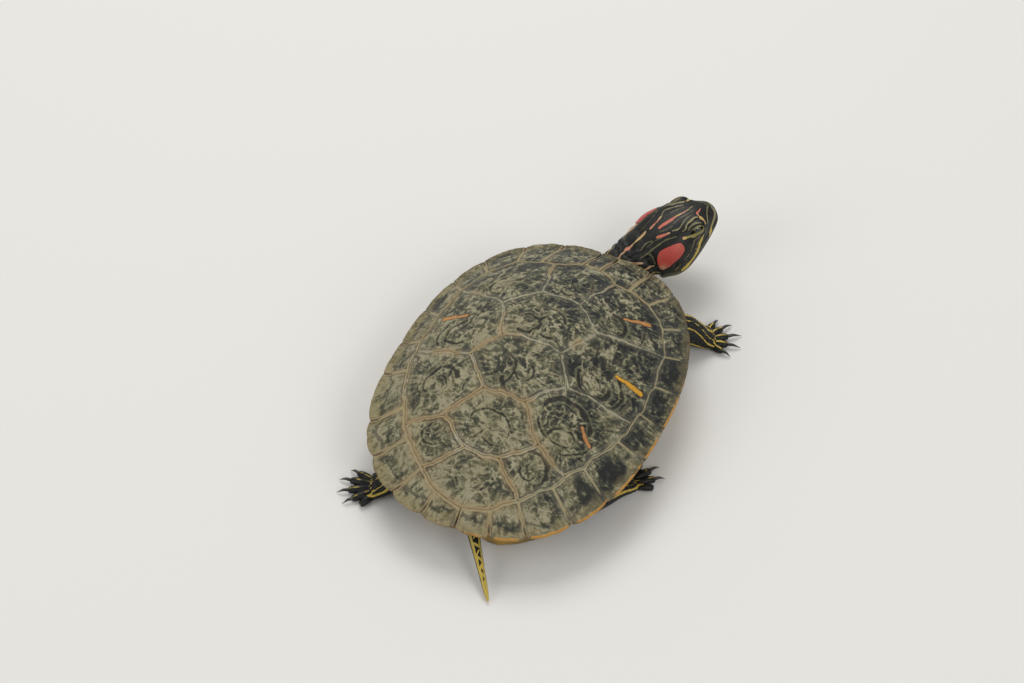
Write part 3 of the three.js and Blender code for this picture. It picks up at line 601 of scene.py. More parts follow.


# Wet horn under a film of silt: black furrows, khaki ridges, pale seams, dark arcs with a pale painted
# highlight beside each, and warm streaks.
# The tone runs along one ramp from furrow to ridge, silt lifts it towards the left and the rear, and the
# right flank is darkened as painted shade.
def hornMaterial(name, look):
    material, tree, skin = newMaterial(name)
    place = placeIn(tree)
    edge = readField(tree, "edge")
    film = useGroup(tree, silt, Place=place, Size=1.9, Line=0.06, Cover=0.5)
    spread = tree.nodes.new("ShaderNodeSeparateXYZ")
    feed(tree, spread.inputs[0], place)
    slope = timesPlus(tree, spread.outputs["X"], 4.5, times(tree, spread.outputs["Y"], 4.0))
    patchy = noiseOf(tree, place, 42.0, 3.0)
    siltShare = step(tree, timesPlus(tree, patchy, 1.3, slope), 0.25, 1.1)
    tone = timesPlus(tree, readField(tree, "bark"), look["contrast"], times(tree, siltShare, look["lift"]))
    tone = timesPlus(tree, lessBy(tree, film["Specks"], 0.5), 1.1, tone)
    tone = timesPlus(tree, lessBy(tree, film["Clouds"], 0.5), 0.3, tone)
    tone = timesPlus(tree, lessBy(tree, noiseOf(tree, place, 75.0, 2.0), 0.5), 0.75, tone)
    tone = timesPlus(tree, film["Squiggles"], 0.2, tone)
    # Painted shade: the tone is lowered on the shell's right flank.
    tone = timesPlus(tree, step(tree, spread.outputs["X"], -0.042, -0.062), -look["rightPaintedShade"], tone)
    base = tintRamp(tree, tone, look["tones"])
    base = blend(tree, times(tree, siltShare, timesPlus(tree, film["Clouds"], 0.3, 0.16)), base,
                 colour(look["silt"]))
    ripple = noiseOf(tree, place, 420.0, 3.0)
    arc = timesPlus(tree, ripple, 0.7, lessBy(tree, readField(tree, "arc"), 0.35))
    # Painted highlight: a pale rim in the ridge colour just outside every dark arc.
    beside = times(tree, step(tree, calc(tree, "ADD", arc, 1.3), -0.2, 0.6), 0.3)
    base = blend(tree, beside, base, colour(look["ridge"]))
    base = blend(tree, times(tree, step(tree, arc, -0.35, 0.35), 0.88), base, colour(look["arc"]))
    front = times(tree, step(tree, spread.outputs["Y"], -0.045, -0.065),
                  step(tree, spread.outputs["X"], -0.055, -0.035))
    warmShare = calc(tree, "MAXIMUM", siltShare, front)
    warmth = times(tree, warmShare, timesPlus(tree, patchy, 2.4, -0.35), clamp=True)
    wide = timesPlus(tree, warmth, look["seamWide"], -0.12)
    seamEdge = lessBy(tree, timesPlus(tree, ripple, 0.9, edge), wide)
    warm = blend(tree, step(tree, warmth, 0.2, 0.75), colour(look["seam"]), colour(look["seamWarm"]))
    nearby = times(tree, step(tree, seamEdge, 4.0, 0.8), timesPlus(tree, siltShare, 0.3, 0.12))
    base = blend(tree, nearby, base, warm)
    second = calc(tree, "ABSOLUTE", lessBy(tree, seamEdge, 1.45))
    base = blend(tree, times(tree, step(tree, second, 0.45, 0.05),
                             times(tree, step(tree, patchy, 0.56, 0.5), 0.6)),
                 base, colour(look["arc"]))
    base = blend(tree, times(tree, step(tree, seamEdge, 0.95, 0.6), look["seamMost"]), base, warm)
    base = blend(tree, times(tree, step(tree, edge, 0.12, 0.03), 0.3), base, colour(look["arc"]))
    streak = timesPlus(tree, ripple, 0.9, lessBy(tree, readField(tree, "streak"), 0.45))
    base = blend(tree, times(tree, step(tree, calc(tree, "ADD", streak, 0.7), -0.1, 0.4), 0.8), base,
                 colour(look["arc"]))
    warm = blend(tree, readField(tree, "streakTint"), colour(look["streakDeep"]), colour(look["streak"]))
    base = blend(tree, times(tree, step(tree, streak, -0.35, 0.4), 0.92), base, warm)
    feed(tree, skin.inputs["Base Color"], base)
    feed(tree, skin.inputs["Roughness"], timesPlus(tree, film["Clouds"], 0.14, look["rough"]))
    height = timesPlus(tree, film["Squiggles"], 0.5, film["Specks"])
    feed(tree, skin.inputs["Normal"], bumpOf(tree, height, 0.55, 1.0))
    skin.inputs["Specular IOR Level"].default_value = 0.35
    return material


hornLook = {
    "tones": [(0.0, "0f110f"), (0.22, "1c2020"), (0.42, "2d312b"), (0.6, "55543f"), (0.8, "868165"),
              (1.0, "aba488")],
    # The ridge colour is the painted highlight beside the dark arcs.
    "contrast": 0.92, "lift": 0.25, "silt": "79724f", "ridge": "958e6c", "arc": "101210",
    "seam": "bfb89c", "seamWarm": "a6906a", "seamWide": 0.75, "seamMost": 0.9, "streak": "e0a52c",
    "streakDeep": "bd8450",
    # The last entry is how much painted shade darkens the shell's right flank.
    "rough": 0.46, "rightPaintedShade": 0.14,
}
horn = hornMaterial("siltyHorn", hornLook)
for name, outline in scuteOutlines().items():
    scute = makeScute(name.replace("_", ""), outline, scuteMarks[name])
    settle(scute, horn, "scute", name)
print("scutes made")


# The marginals and the nuchal: one closed strip a side, with a notch and a seam between every two of them

marginLook = {
    "stepsEach": 34, "topSteps": 20, "rimSteps": 6, "underSteps": 12,
    "seamDepth": 0.4, "seamReach": 0.9, "crown": 0.5, "bark": 0.42, "highest": 0.2,
    "lip": 2.2, "lipIn": 0.7, "bulge": 4.0, "bridgeDrop": 7.2, "endGap": 0.12,
}


# One row of the strip: from the costal seam over the top to the rim, round the lip and back underneath.
# The notch pulls the rim inwards, and the relief pushes the top along the carapace's own normal.
def marginRows(inner, angle, local, saw):
    look = marginLook
    edge = edgePoint(angle)
    away = unit(edge)
    out = edge - away * saw[:, None]
    turn = np.abs(angle)
    bridge = smoothStep(turn, math.radians(48), math.radians(62)) * (1
        - smoothStep(turn, math.radians(108), math.radians(124)))
    edgeHeight = shellHeight(edge[:, 0], edge[:, 1])
    share = np.linspace(0, 1, look["topSteps"])[None, :, None]
    flat = inner[:, None] + (out - inner)[:, None] * share
    level = inner[:, None] + (edge - inner)[:, None] * share
    height = shellHeight(level[..., 0], level[..., 1])
    height = height + (edgeHeight[:, None] - height) * share[..., 0] ** 4
    top = np.concatenate([flat, height[..., None]], -1)
    normal = shellNormal(flat[..., 0] * 0.97, flat[..., 1] * 0.97)
    width = np.linalg.norm(out - inner, axis=-1)[:, None]
    fromSeam = share[0, :, 0] * width
    seamSpan = np.linalg.norm(np.gradient(edge, axis=0), axis=-1)[:, None] * look["stepsEach"]
    fromSide = np.minimum(local, 1 - local)[:, None] * seamSpan
    nearest = np.minimum(fromSeam, fromSide)
    bark = barkOf(top, np.concatenate([inner, inner[:, :1] * 0], -1)[:, None] + 0 * top, nearest, 8)
    relief = look["bark"] * (bark - 1) * smoothStep(nearest, 0,
        2) - look["seamDepth"] * (1 - smoothStep(nearest, 0, look["seamReach"]))
    relief = relief + look["crown"] * (smoothStep(fromSide, 0, 7) - 1) * share[0, :, 0] + look["highest"]
    top = top + normal * np.minimum(relief, look["highest"])[..., None]
    rim = top[:, -1]
    lip = np.concatenate([out - away * look["lipIn"], (edgeHeight - look["lip"])[:, None]], -1)
    bend = np.linspace(0, 1, look["rimSteps"] + 2)[None, 1:-1, None]
    bulgeOut = np.concatenate([away, np.zeros((len(away), 1))], -1)[:, None] * 0.2 * np.sin(np.pi * bend)
    side = rim[:, None] + (lip - rim)[:, None] * bend + bulgeOut - [0, 0, 0.12] * np.sin(np.pi * bend)
    middle = inner + (out - inner) * 0.42
    middleLevel = inner + (edge - inner) * 0.42
    hang = shellHeight(middleLevel[:, 0], middleLevel[:, 1]) * (1
        - 0.42 ** 4) + edgeHeight * 0.42 ** 4 - look["bulge"]
    hang = hang * (1 - bridge) + (shell["rimHeight"] - look["bridgeDrop"]) * bridge
    under = np.concatenate([middle, hang[:, None]], -1)
    inHeight = shellHeight(inner[:, 0], inner[:, 1])[:, None]
    root = np.concatenate([inner, inHeight], -1) - shellNormal(inner[:, 0],
        inner[:, 1]) * (shell["thickness"] + 1)
    root[:, :2] += (inner - root[:, :2]) * bridge[:, None]
    stations = np.stack([lip, under, root]).reshape(3, -1)
    below = readStations(stations, np.linspace(0, 1, look["underSteps"])).reshape(look["underSteps"], -1, 3)
    below = below.transpose(1, 0, 2)
    rows = np.concatenate([top, side, below], 1)
    fields = {
        "bark": np.concatenate([bark, np.repeat(bark[:, -1:], rows.shape[1] - top.shape[1], 1)], 1),
        "edge": np.concatenate([nearest, np.repeat(fromSide, rows.shape[1] - top.shape[1], 1)], 1),
        "rim": np.concatenate([(1 - share[0, :, 0]) * width, np.zeros((len(rows), look["rimSteps"])),
                               -np.linspace(0, 1, look["underSteps"]) * width], 1),
        "local": np.repeat(local[:, None], rows.shape[1], 1),
    }
    return rows, fields


# A strip of marginals: one tube through its rows, with its fields on its points.
def makeStrip(name, inner, angle, local, saw):
    rows, fields = marginRows(inner, angle, local, saw)
    piece = makeTube(name, rows)
    for field, values in fields.items():
        setField(piece, field, np.concatenate([values.ravel(), values[0, :1], values[-1, :1]]))
    for field in ("arc", "streak"):
        setField(piece, field, np.full(len(piece.data.vertices), -6.0))
    return piece


# The inner seam runs from corner to corner; the first marginal's also passes the first vertebral's corner.
def marginSide(side):
    steps = marginLook["stepsEach"]
    local = (np.arange(steps) + 0.5) / steps
    local = local + 0.04 * np.sin(2 * np.pi * local) * -1
    inner = np.concatenate([np.array(marginCorners[k]) + (np.array(marginCorners[k + 1]) - marginCorners[k])
                            * local[:, None]
                            for k in range(12)])
    first = np.array([marginCorners[0], seamCorners["first"], marginCorners[1]], float)
    inner[:steps] = np.stack([np.interp(local, [0, 0.6, 1], first[:, axis]) for axis in (0, 1)], -1)
    angle = np.concatenate([marginAngles[k] + (marginAngles[k + 1] - marginAngles[k]) * local
                            for k in range(12)])
    allLocal = np.tile(local, 12)
    rear = smoothStep(angle, math.radians(95), math.radians(135))
    saw = rear * (shell["saw"] * np.abs(2 * allLocal - 1) ** 3 + 0.5
                  * np.exp(-((allLocal - 0.45) / 0.07) ** 2))
    saw = saw + 0.35 * np.exp(-(np.minimum(allLocal, 1 - allLocal) / 0.03) ** 2)
    inner = settleSeam(inner * [side, 1])
    inner = inner + unit(inner) * shell["seamHalf"]
    middleGap = smoothStep(np.abs(inner[:, 0]), 0, 1.5)
    inner[:, 0] = np.where(middleGap < 1, side * np.maximum(np.abs(inner[:, 0]), marginLook["endGap"]),
                           inner[:, 0])
    return inner, side * angle, allLocal, saw


# The nuchal from side to side; its notch is the cube of how far out it is, times 0.3.
def nuchalRows():
    local = (np.arange(marginLook["stepsEach"]) + 0.5) / marginLook["stepsEach"]
    across = 2 * local - 1
    half = seamCorners["nuchal"][0] - 0.25
    inner = settleSeam(np.stack([across * half, np.full_like(local, seamCorners["nuchal"][1])], -1))
    return inner, across * (marginAngles[0] - 0.0035), local, 0.3 * np.abs(across) ** 3


# Marginal horn: as the scutes, with a pale lobe towards each rim, a dark smudge inside it, a warm line along
# the right rim, and yellow underneath with a ringed dark spot.
def marginMaterial(name, look):
    material = horn.copy()
    material.name = name
    tree = material.node_tree
    skin = tree.nodes["Principled BSDF"]
    base = skin.inputs["Base Color"].links[0].from_socket
    place = placeIn(tree)
    local, rim, edge = readField(tree, "local"), readField(tree, "rim"), readField(tree, "edge")
    ripple = noiseOf(tree, place, 300.0, 3.0)
    patchy = noiseOf(tree, place, 120.0, 3.0)
    spread = tree.nodes.new("ShaderNodeSeparateXYZ")
    feed(tree, spread.inputs[0], place)
    onRight = step(tree, spread.outputs["X"], 0.0, -0.02)
    toRear = step(tree, timesPlus(tree, spread.outputs["X"], 0.9, spread.outputs["Y"]), -0.02, 0.05)
    inwards = timesPlus(tree, patchy, 14.0, lessBy(tree, rim, 7.5))
    bark = readField(tree, "bark")
    lobe = times(tree, step(tree, inwards, 5.5, 2.5), timesPlus(tree, bark, 0.5, 0.3))
    lobe = times(tree, lobe, step(tree, edge, 0.5, 2.5))
    lobe = times(tree, lobe, timesPlus(tree, toRear, 0.4, 0.6))
    smudge = step(tree, calc(tree, "ABSOLUTE", lessBy(tree, inwards, 6.6)), 1.8, 0.4)
    smudge = times(tree, smudge, step(tree, edge, 0.8, 2.2))
    base = blend(tree, lobe, base, colour(look["pale"]))
    base = blend(tree, times(tree, smudge, 0.6), base, colour(look["dark"]))
    inner = step(tree, rim, 3.0, 7.0)
    seam = times(tree, step(tree, timesPlus(tree, ripple, 0.5, edge), 1.0, 0.65), inner)
    base = blend(tree, times(tree, seam, 0.85), base, colour(look["seam"]))
    base = blend(tree, times(tree, step(tree, edge, 0.9, 0.1), lessBy(tree, 0.8, times(tree, inner, 0.8))),
                 base,
                 colour(look["dark"]))
    alongRim = step(tree, calc(tree, "ABSOLUTE", timesPlus(tree, ripple, 0.9, calc(tree, "ADD", rim, -0.5))),
                    1.1, 0.6)
    rearHalf = step(tree, spread.outputs["Y"], -0.045, -0.02)
    edgeLine = times(tree, alongRim, timesPlus(tree, times(tree, onRight, rearHalf), 0.8, 0.08))
    fromMiddle = calc(tree, "ABSOLUTE", lessBy(tree, local, 0.5))
    broken = step(tree, timesPlus(tree, patchy, -0.9, fromMiddle), 0.05, -0.2)
    base = blend(tree, times(tree, edgeLine, broken), base, colour(look["line"]))
    sideways = times(tree, lessBy(tree, local, 0.55), look["spacing"])
    below = step(tree, rim, -0.5, -2.0)
    deep = calc(tree, "ADD", rim, 6.5)
    away = calc(tree, "SQRT", calc(tree, "ADD", times(tree, sideways, sideways), times(tree, deep, deep)))
    away = timesPlus(tree, ripple, 2.4, away)
    belowBase = blend(tree, step(tree, away, 6.5, 5.0), colour(look["belowPale"]), colour(look["dark"]))
    belowRound = step(tree, calc(tree, "ABSOLUTE", lessBy(tree, away, 3.4)), 0.8, 0.4)
    belowBase = blend(tree, belowRound, belowBase, colour(look["belowPale"]))
    base = blend(tree, below, base, belowBase)
    feed(tree, skin.inputs["Base Color"], base)
    return material


rimHorn = marginMaterial("rimHorn", {
    "spacing": 17.0, "pale": "8f835c", "dark": "1d1f1a", "seam": "a0946f", "line": "c89140",
    "belowPale": "a8873f",
})
for side, name, node in ((1, "marginalsLeft", "marginals_left"), (-1, "marginalsRight", "marginals_right")):
    settle(makeStrip(name, *marginSide(side)), rimHorn, "margin", node)
settle(makeStrip("nuchal", *nuchalRows()), rimHorn, "margin", "nuchal")
print("marginals made")


# The plastron: a dished plate whose sides rise to the marginals, with six pairs of scutes

plastronLook = {
    "front": -96.8, "rear": 87.8, "thickness": 4.1, "notch": 6.0, "frontCurve": 2.5,
    "flatHalf": 46.0, "flatLength": 66.0, "bridgeHalf": 67.6, "bridgeLift": 20.8, "bridgeSpan": (-48, 18),
    "bridgeBend": 4.0,
    "frontTurn": 5.0, "rearTurn": 3.0, "turnEnd": 110.0,
    "lobes": [(-97, 22), (-88, 33), (-70, 41), (-50, 45), (30, 44), (55, 44), (72, 38), (82, 28), (88, 18)],
    "seams": (-82, -62, -30, 10, 48), "seamBow": 5.0, "rows": 170, "across": 84, "edgeSteps": 5,
    "seamDepth": 0.35, "base": "a9893f", "blotch": "2a2721", "seam": "5f4a2a", "stain": "7f6a3c",
}


# Height of the underside: flat, with a smooth step up to each bridge and to each end.
def plastronUnder(x, y):
    look = plastronLook
    bridge = look["bridgeLift"] * smoothStep(np.abs(x), look["flatHalf"], shell["width"] / 2)
    front = look["frontTurn"] * smoothStep(-y, look["flatLength"], look["turnEnd"])
    return bridge + front + look["rearTurn"] * smoothStep(y, look["flatLength"], look["turnEnd"])


# Rows run from the front tip to the rear; each goes across underneath, round the edge and back on top.
def makePlastron():
    look = plastronLook
    lobes = np.array(look["lobes"], float)
    start, end = look["bridgeSpan"]
    bend = look["bridgeBend"]
    across = np.sin(np.linspace(-np.pi / 2, np.pi / 2, look["across"])) * 0.6 + np.linspace(-1, 1,
        look["across"]) * 0.4
    along = np.linspace(0.001, 0.999, look["rows"])[:, None]
    rear = look["rear"] - look["notch"] * np.maximum(0, 1 - np.abs(across) * 1.4)
    front = look["front"] + look["frontCurve"] * across ** 2
    y = front + (rear - front) * along
    half = np.interp(y, lobes[:, 0], lobes[:, 1])
    bridge = smoothStep(y, start - bend, start + bend) * (1 - smoothStep(y, end - bend, end + bend))
    half = half + (look["bridgeHalf"] - half) * bridge - 0.2
    x = half * across
    height = plastronUnder(x, y)
    bow = np.array(look["seams"])[:, None, None] + look["seamBow"] * (1 - (x / 45) ** 2) - 2
    fromSeam = np.minimum(np.abs(y - bow).min(0), np.abs(x + 0.6 * np.sin(y / 7)))
    fromBridge = np.where(np.abs(y + 12) < 40, np.abs(np.abs(x) - 45), 9)
    edge = np.minimum(fromSeam, fromBridge)
    groove = look["seamDepth"] * (1 - smoothStep(edge, 0, 0.8))
    below = np.stack([x, y, height + groove], -1)
    above = np.stack([x, y, height + look["thickness"]], -1)[:, ::-1]
    out = np.stack([np.full_like(y[:, 0], 0.4), 0 * y[:, 0], 0 * y[:, 0]], -1)
    turns = np.linspace(0, np.pi, look["edgeSteps"] + 2)[1:-1]
    rise = (1 - np.cos(turns))[None, :, None] / 2
    right = below[:, -1:] + (above[:, :1] - below[:, -1:]) * rise + out[:, None] * np.sin(turns)[:, None]
    left = above[:, -1:] + (below[:, :1] - above[:, -1:]) * rise - out[:, None] * np.sin(turns)[:, None]
    rows = np.concatenate([below, right, above, left], 1)
    piece = makeTube("plastronPlate", rows)
    sides = np.full((len(y), look["edgeSteps"]), 3.0)
    values = np.concatenate([edge, sides, np.full_like(edge, 3.0), sides], 1)
    setField(piece, "edge", np.concatenate([values.ravel(), [3.0, 3.0]]))
    return piece


# Yellow horn with one dark smudge on each scute, stained towards its seams and scratched by the ground.
def plastronMaterial(look):
    material, tree, skin = newMaterial("yellowHorn")
    place = placeIn(tree)
    edge = readField(tree, "edge")
    film = useGroup(tree, silt, Place=place, Size=3.4, Line=0.05, Cover=0.52)
    base = blend(tree, film["Clouds"], colour(look["base"]), colour(look["stain"]))
    smudge = timesPlus(tree, noiseOf(tree, place, 55.0, 3.0), 16.0, lessBy(tree, edge, 16.0))
    base = blend(tree, times(tree, step(tree, smudge, -0.5, 2.5), 0.9), base, colour(look["blotch"]))
    base = blend(tree, step(tree, edge, 1.0, 0.3), base, colour(look["seam"]))
    base = blend(tree, times(tree, step(tree, film["Specks"], 0.5, 0.7), 0.3), base, colour(look["seam"]))
    feed(tree, skin.inputs["Base Color"], base)
    skin.inputs["Roughness"].default_value = 0.45
    feed(tree, skin.inputs["Normal"], bumpOf(tree, film["Specks"], 0.2, 0.5))
    return material


settle(makePlastron(), plastronMaterial(plastronLook), "plastron", "plastron")
print("plastron made")


# The flesh: head and neck, trunk, legs and tail, each a closed loft, joined into one skin

upward = np.array([0.0, 0.0, 1.0])
flesh = {"inside": 0.3, "soleHeight": 0.05, "toeHeight": 2.1, "clawSeat": 1.0}
legStations = {
    "foreRight": [(-24, -66, 21, 11, 9), (-38, -77, 18.5, 10.5, 8.5), (-50, -86, 15, 9.5, 8),
                  (-57, -90.5, 9.6, 8.5, 6.5), (-61.5, -93.5, 5.6, 8.3, 4.6), (-66, -97, 3, 8.4, 3.2)],
    "foreLeft": [(24, -64, 21, 11, 9), (38, -69, 18.5, 10.5, 8.5), (47, -74, 14.5, 9.5, 8),
                 (51, -78, 9.6, 8.5, 6.5), (53.5, -82.5, 5.6, 8.3, 4.6), (56, -88, 3, 8.4, 3.2)],
    "hindRight": [(-28, 62, 21, 12.5, 11), (-44, 58, 19, 12, 10), (-52, 50, 15.5, 10, 8.6),
                  (-56, 39, 9.5, 8.8, 6.6), (-60, 27, 5.6, 8.6, 4.4), (-65.5, 16, 3, 9.4, 3.1)],
    "hindLeft": [(26, 60, 21, 12.5, 11), (39, 66, 18.5, 12, 10), (46, 70.5, 14.5, 10.5, 9),
                 (51, 74, 9.5, 8.8, 6.8), (55, 77, 5.6, 8.6, 4.6), (60.5, 79.5, 3, 9.4, 3.1)],
}
# Toes: angle from the leg's line, reach, half width and length of the claw.
toeTable = {
    "fore": [(-46, 9, 2.1, 5), (-23, 11, 2.2, 6.5), (0, 12, 2.3, 7), (22, 11, 2.2, 6.5), (46, 8.5, 2.1, 4.5)],
    "hind": [(-36, 13, 2.2, 4.5), (-16, 15.5, 2.4, 5.5), (4, 16, 2.5, 5.5), (23, 15, 2.4, 5),
             (43, 11.5, 2.2, 0)],
}
webReach = {"fore": 0.52, "hind": 0.82}
tailStations = [(0, 70, 20, 11, 9), (-3, 84, 17.5, 6.9, 6.6), (-9, 97, 14.5, 3.6, 3.7),
                (-18.5, 110, 8.5, 2.4, 2.4), (-30.3, 126, 1.8, 1.2, 1.2)]
neckStations = [(0, -58, 22, 13, 9), (0, -78, 18.5, 13.8, 9.3), (-1.5, -94, 18, 13.8, 9),
                (-5.5, -108, 21.8, 13.8, 10)]


# A limb: an elliptic section carried along a smooth path, drawn in to a round end on either side.
def limbPoints(stations, share, angle, grow=0.0):
    table = np.array(stations, float)
    span = (len(table) - 1) * 2
    at = readStations(table, share)
    ahead = unit(readStations(table[:, :3], share + 0.005) - readStations(table[:, :3], share - 0.005))
    side = unit(np.cross(ahead, upward))
    over = np.cross(side, ahead)
    fromEnd = np.clip(np.minimum(share, 1 - share) * span, 0, 1)
    close = np.sqrt(np.maximum(1 - (1 - fromEnd) ** 2, 0.0004))
    wide = close * (at[..., 3] + grow) * np.cos(angle)
    tall = close * (at[..., 4] + grow) * np.sin(angle)
    return at[..., :3] + side * wide[..., None] + over * tall[..., None]


# The outward direction of a surface given as a grid of points around its own middle line.
def gridNormals(rings):
    lengthwise = np.gradient(rings, axis=0)
    around = (np.roll(rings, -1, 1) - np.roll(rings, 1, 1)) / 2
    normal = unit(np.cross(lengthwise, around))
    outward = rings - rings.mean(1, keepdims=True)
    return normal * np.sign((normal * outward).sum(-1, keepdims=True).mean(1, keepdims=True))


# Rings along a limb, spaced evenly or, as evenness falls, by a cosine that crowds its ends.
def limbRings(stations, rings, around, grow=0.0, evenness=0.4):
    even = np.linspace(0, 1, rings)
    share = evenness * even + (1 - evenness) * (1 - np.cos(np.pi * even)) / 2
    angle = 2 * np.pi * np.arange(around) / around
    return limbPoints(stations, share[:, None] + 0 * angle, angle + 0 * share[:, None], grow), share


# Skin relief on a limb: slack folds across it and fine creases, worked out from the points themselves.
def creased(rings, foldDepth, foldGap, creaseDepth, seed):
    place = np.linalg.norm(np.diff(rings.mean(1), axis=0), axis=-1)
    along = np.concatenate([[0], np.cumsum(place)])[:, None]
    sway = layeredNoise(rings, 9.0, 2, seed) * 5
    folds = -np.abs(np.sin(np.pi * (along + sway) / foldGap)) ** 3
    creases = layeredNoise(rings, 1.7, 2, seed + 3) - 0.5
    patch = smoothStep(layeredNoise(rings, 12.0, 1, seed + 5), 0.3, 0.7)
    return rings + gridNormals(rings) * (foldDepth * folds * patch + creaseDepth * creases)[..., None]


# A toe's line: where it starts, its direction and its tip.
def toeLine(leg, toe):
    side = 1 if leg.endswith("Left") else -1
    ankle, end = (np.array([*station[:2], flesh["toeHeight"]]) for station in legStations[leg][-2:])
    forward = unit(end - ankle)
    across = np.array([side * forward[1], -side * forward[0], 0])
    turn = math.radians(side * toe[0])
    c, s = math.cos(turn), math.sin(turn)
    direction = np.array([c * forward[0] - s * forward[1], s * forward[0] + c * forward[1], 0])
    root = end - across * 0.1 * toe[0] - forward * 3
    return root, direction, root + direction * toe[1], forward


# One toe as a limb of five stations, thicker at its joints and thinner towards the claw.
def toeRings(leg, toe):
    root, direction, tip, _ = toeLine(leg, toe)
    height = flesh["toeHeight"]
    width = toe[2]
    shares = (0, 0.3, 0.6, 0.85, 1)
    rises = (0, 0.35, 0.5, 0.15, -0.2)
    widths = (1, 0.94, 1.05, 0.88, 0.7)
    talls = (2, 1.9, 2.05, 1.8, 1.45)
    last = tip - direction * (flesh["clawSeat"] - 0.2 if toe[3] else 0)
    stations = [(*(root + (last - root) * share)[:2], height + rise, width * wide, tall)
                for share, rise, wide, tall in zip(shares, rises, widths, talls)]
    return limbRings(stations, 22, 18)[0]


# The web between two toes: rows run outwards, each across the top from toe to toe and back underneath.
def webRings(leg, toeA, toeB, share):
    rootA, _, tipA, forward = toeLine(leg, toeA)
    rootB, _, tipB, _ = toeLine(leg, toeB)
    reach = np.linspace(-0.25, share, 16)[:, None, None]
    across = np.linspace(0, 1, 12)[None, :, None]
    lineA, lineB = rootA + (tipA - rootA) * reach, rootB + (tipB - rootB) * reach
    sheet = lineA + (lineB - lineA) * across
    sheet = sheet - forward * 1.6 * np.sin(np.pi * across) * np.clip(reach, 0, 1) / share
    ripple = 0.16 * np.sin(across * np.pi * 5) * np.clip(reach, 0, 1)
    half = 0.42 - 0.12 * np.clip(reach, 0, 1) / share
    top, bottom = sheet.copy(), sheet.copy()
    top[..., 2], bottom[..., 2] = (1.55 + half + ripple)[..., 0], (1.55 - half + ripple)[..., 0]
    return np.concatenate([top, bottom[:, ::-1]], 1)


# The trunk under the shell: from a floor just above the plastron to a ceiling just below the carapace.
def trunkRings(rows=46, around=132):
    lift = np.radians(np.linspace(-88, 88, rows))[:, None]
    angle = 2 * np.pi * np.arange(around)[None] / around
    atSide = smoothStep(np.abs(np.sin(angle)), 0.7, 0.95)
    share = (0.82 + (0.76 - 0.82) * atSide) * np.cos(lift) ** 0.55
    edge = edgePoint(angle + 0 * lift)
    x, y = edge[..., 0] * share, edge[..., 1] * share
    ceiling = np.stack([x, y, shellHeight(x, y)], -1) - shellNormal(x, y) * 4.0
    floor = np.maximum(plastronUnder(x, y) + 4.5, 4.5 + 3 * smoothStep(shellReach(x, y), 0.5, 0.8)) + 1.6
    height = (np.sin(lift) * 0.5 + 0.5) ** np.where(lift > 0, 0.45, 1.2)
    return np.stack([ceiling[..., 0], ceiling[..., 1], floor + (ceiling[..., 2] - floor) * height], -1)


head = {
    "snout": (-40.9, -155.6, 40.5), "turn": 38.5, "raise": 16.0, "length": 48.0,
    "wide": [(0, 3.2), (3, 6.4), (8, 9.6), (14, 12.8), (20, 15.6), (28, 18.4), (34, 19.4), (41, 17.6),
             (48, 14.4)],
    "top": [(0, 3), (3, 5.6), (8, 8.8), (14, 11.2), (20, 12.6), (30, 13), (40, 12.4), (48, 10.8)],
    "under": [(0, 5.4), (4, 8.2), (10, 11), (20, 14.4), (30, 17.4), (40, 17.6), (48, 13.5)],
    "drop": [(0, 0.4), (8, 0.8), (20, 1.4), (32, 1.6), (42, 1.2), (48, 0.3)],
    "crownBends": (0.82, 0.9), "jawBends": (0.6, 0.6),
    "eye": (16.4, 9.4, 6.0), "eyeRadius": 4.25, "lid": 0.6, "lidStretch": (1.42, 1.0, 1.0), "lidShift": 0.4,
    "eyeTurn": (0.06, 0.88, 0.42),
    "openWide": 43, "openTall": 21,
    "mouth": [(0.6, 0.2, -1.0), (4, 6, -1.9), (10, 10, -2.7), (17, 14, -2.9), (22, 16, -2.2), (25, 17, -1.0)],
    "nostril": (0.9, 1.5, 1.7),
}


# The head's own axes from its turn and rise: back along it, to its left and over it.
def headAxes():
    turn, rise = math.radians(head["turn"]), math.radians(head["raise"])
    back = np.array([math.sin(turn) * math.cos(rise), math.cos(turn) * math.cos(rise), -math.sin(rise)])
    left = unit(np.array([back[1], -back[0], 0]))
    return np.stack([back, left, np.cross(left, back)])


headAxis = headAxes()


# From the head's own measures to the shared frame: along its axes from the snout.
def headPlace(points):
    return np.asarray(points, float) @ headAxis + head["snout"]


# From the shared frame to the head's own measures.
def inHead(points):
    return (points - head["snout"]) @ headAxis.T


# One of the head's sizes, so far back, read as a smooth curve through its table.
def headSize(column, back):
    table = np.array(head[column], float)
    return readStations(table[:, 1:], np.interp(back, table[:, 0], np.linspace(0, 1, len(table))))[..., 0]


# A power of the size, with the sign kept.
def bent(value, power):
    return np.sign(value) * np.abs(value) ** power


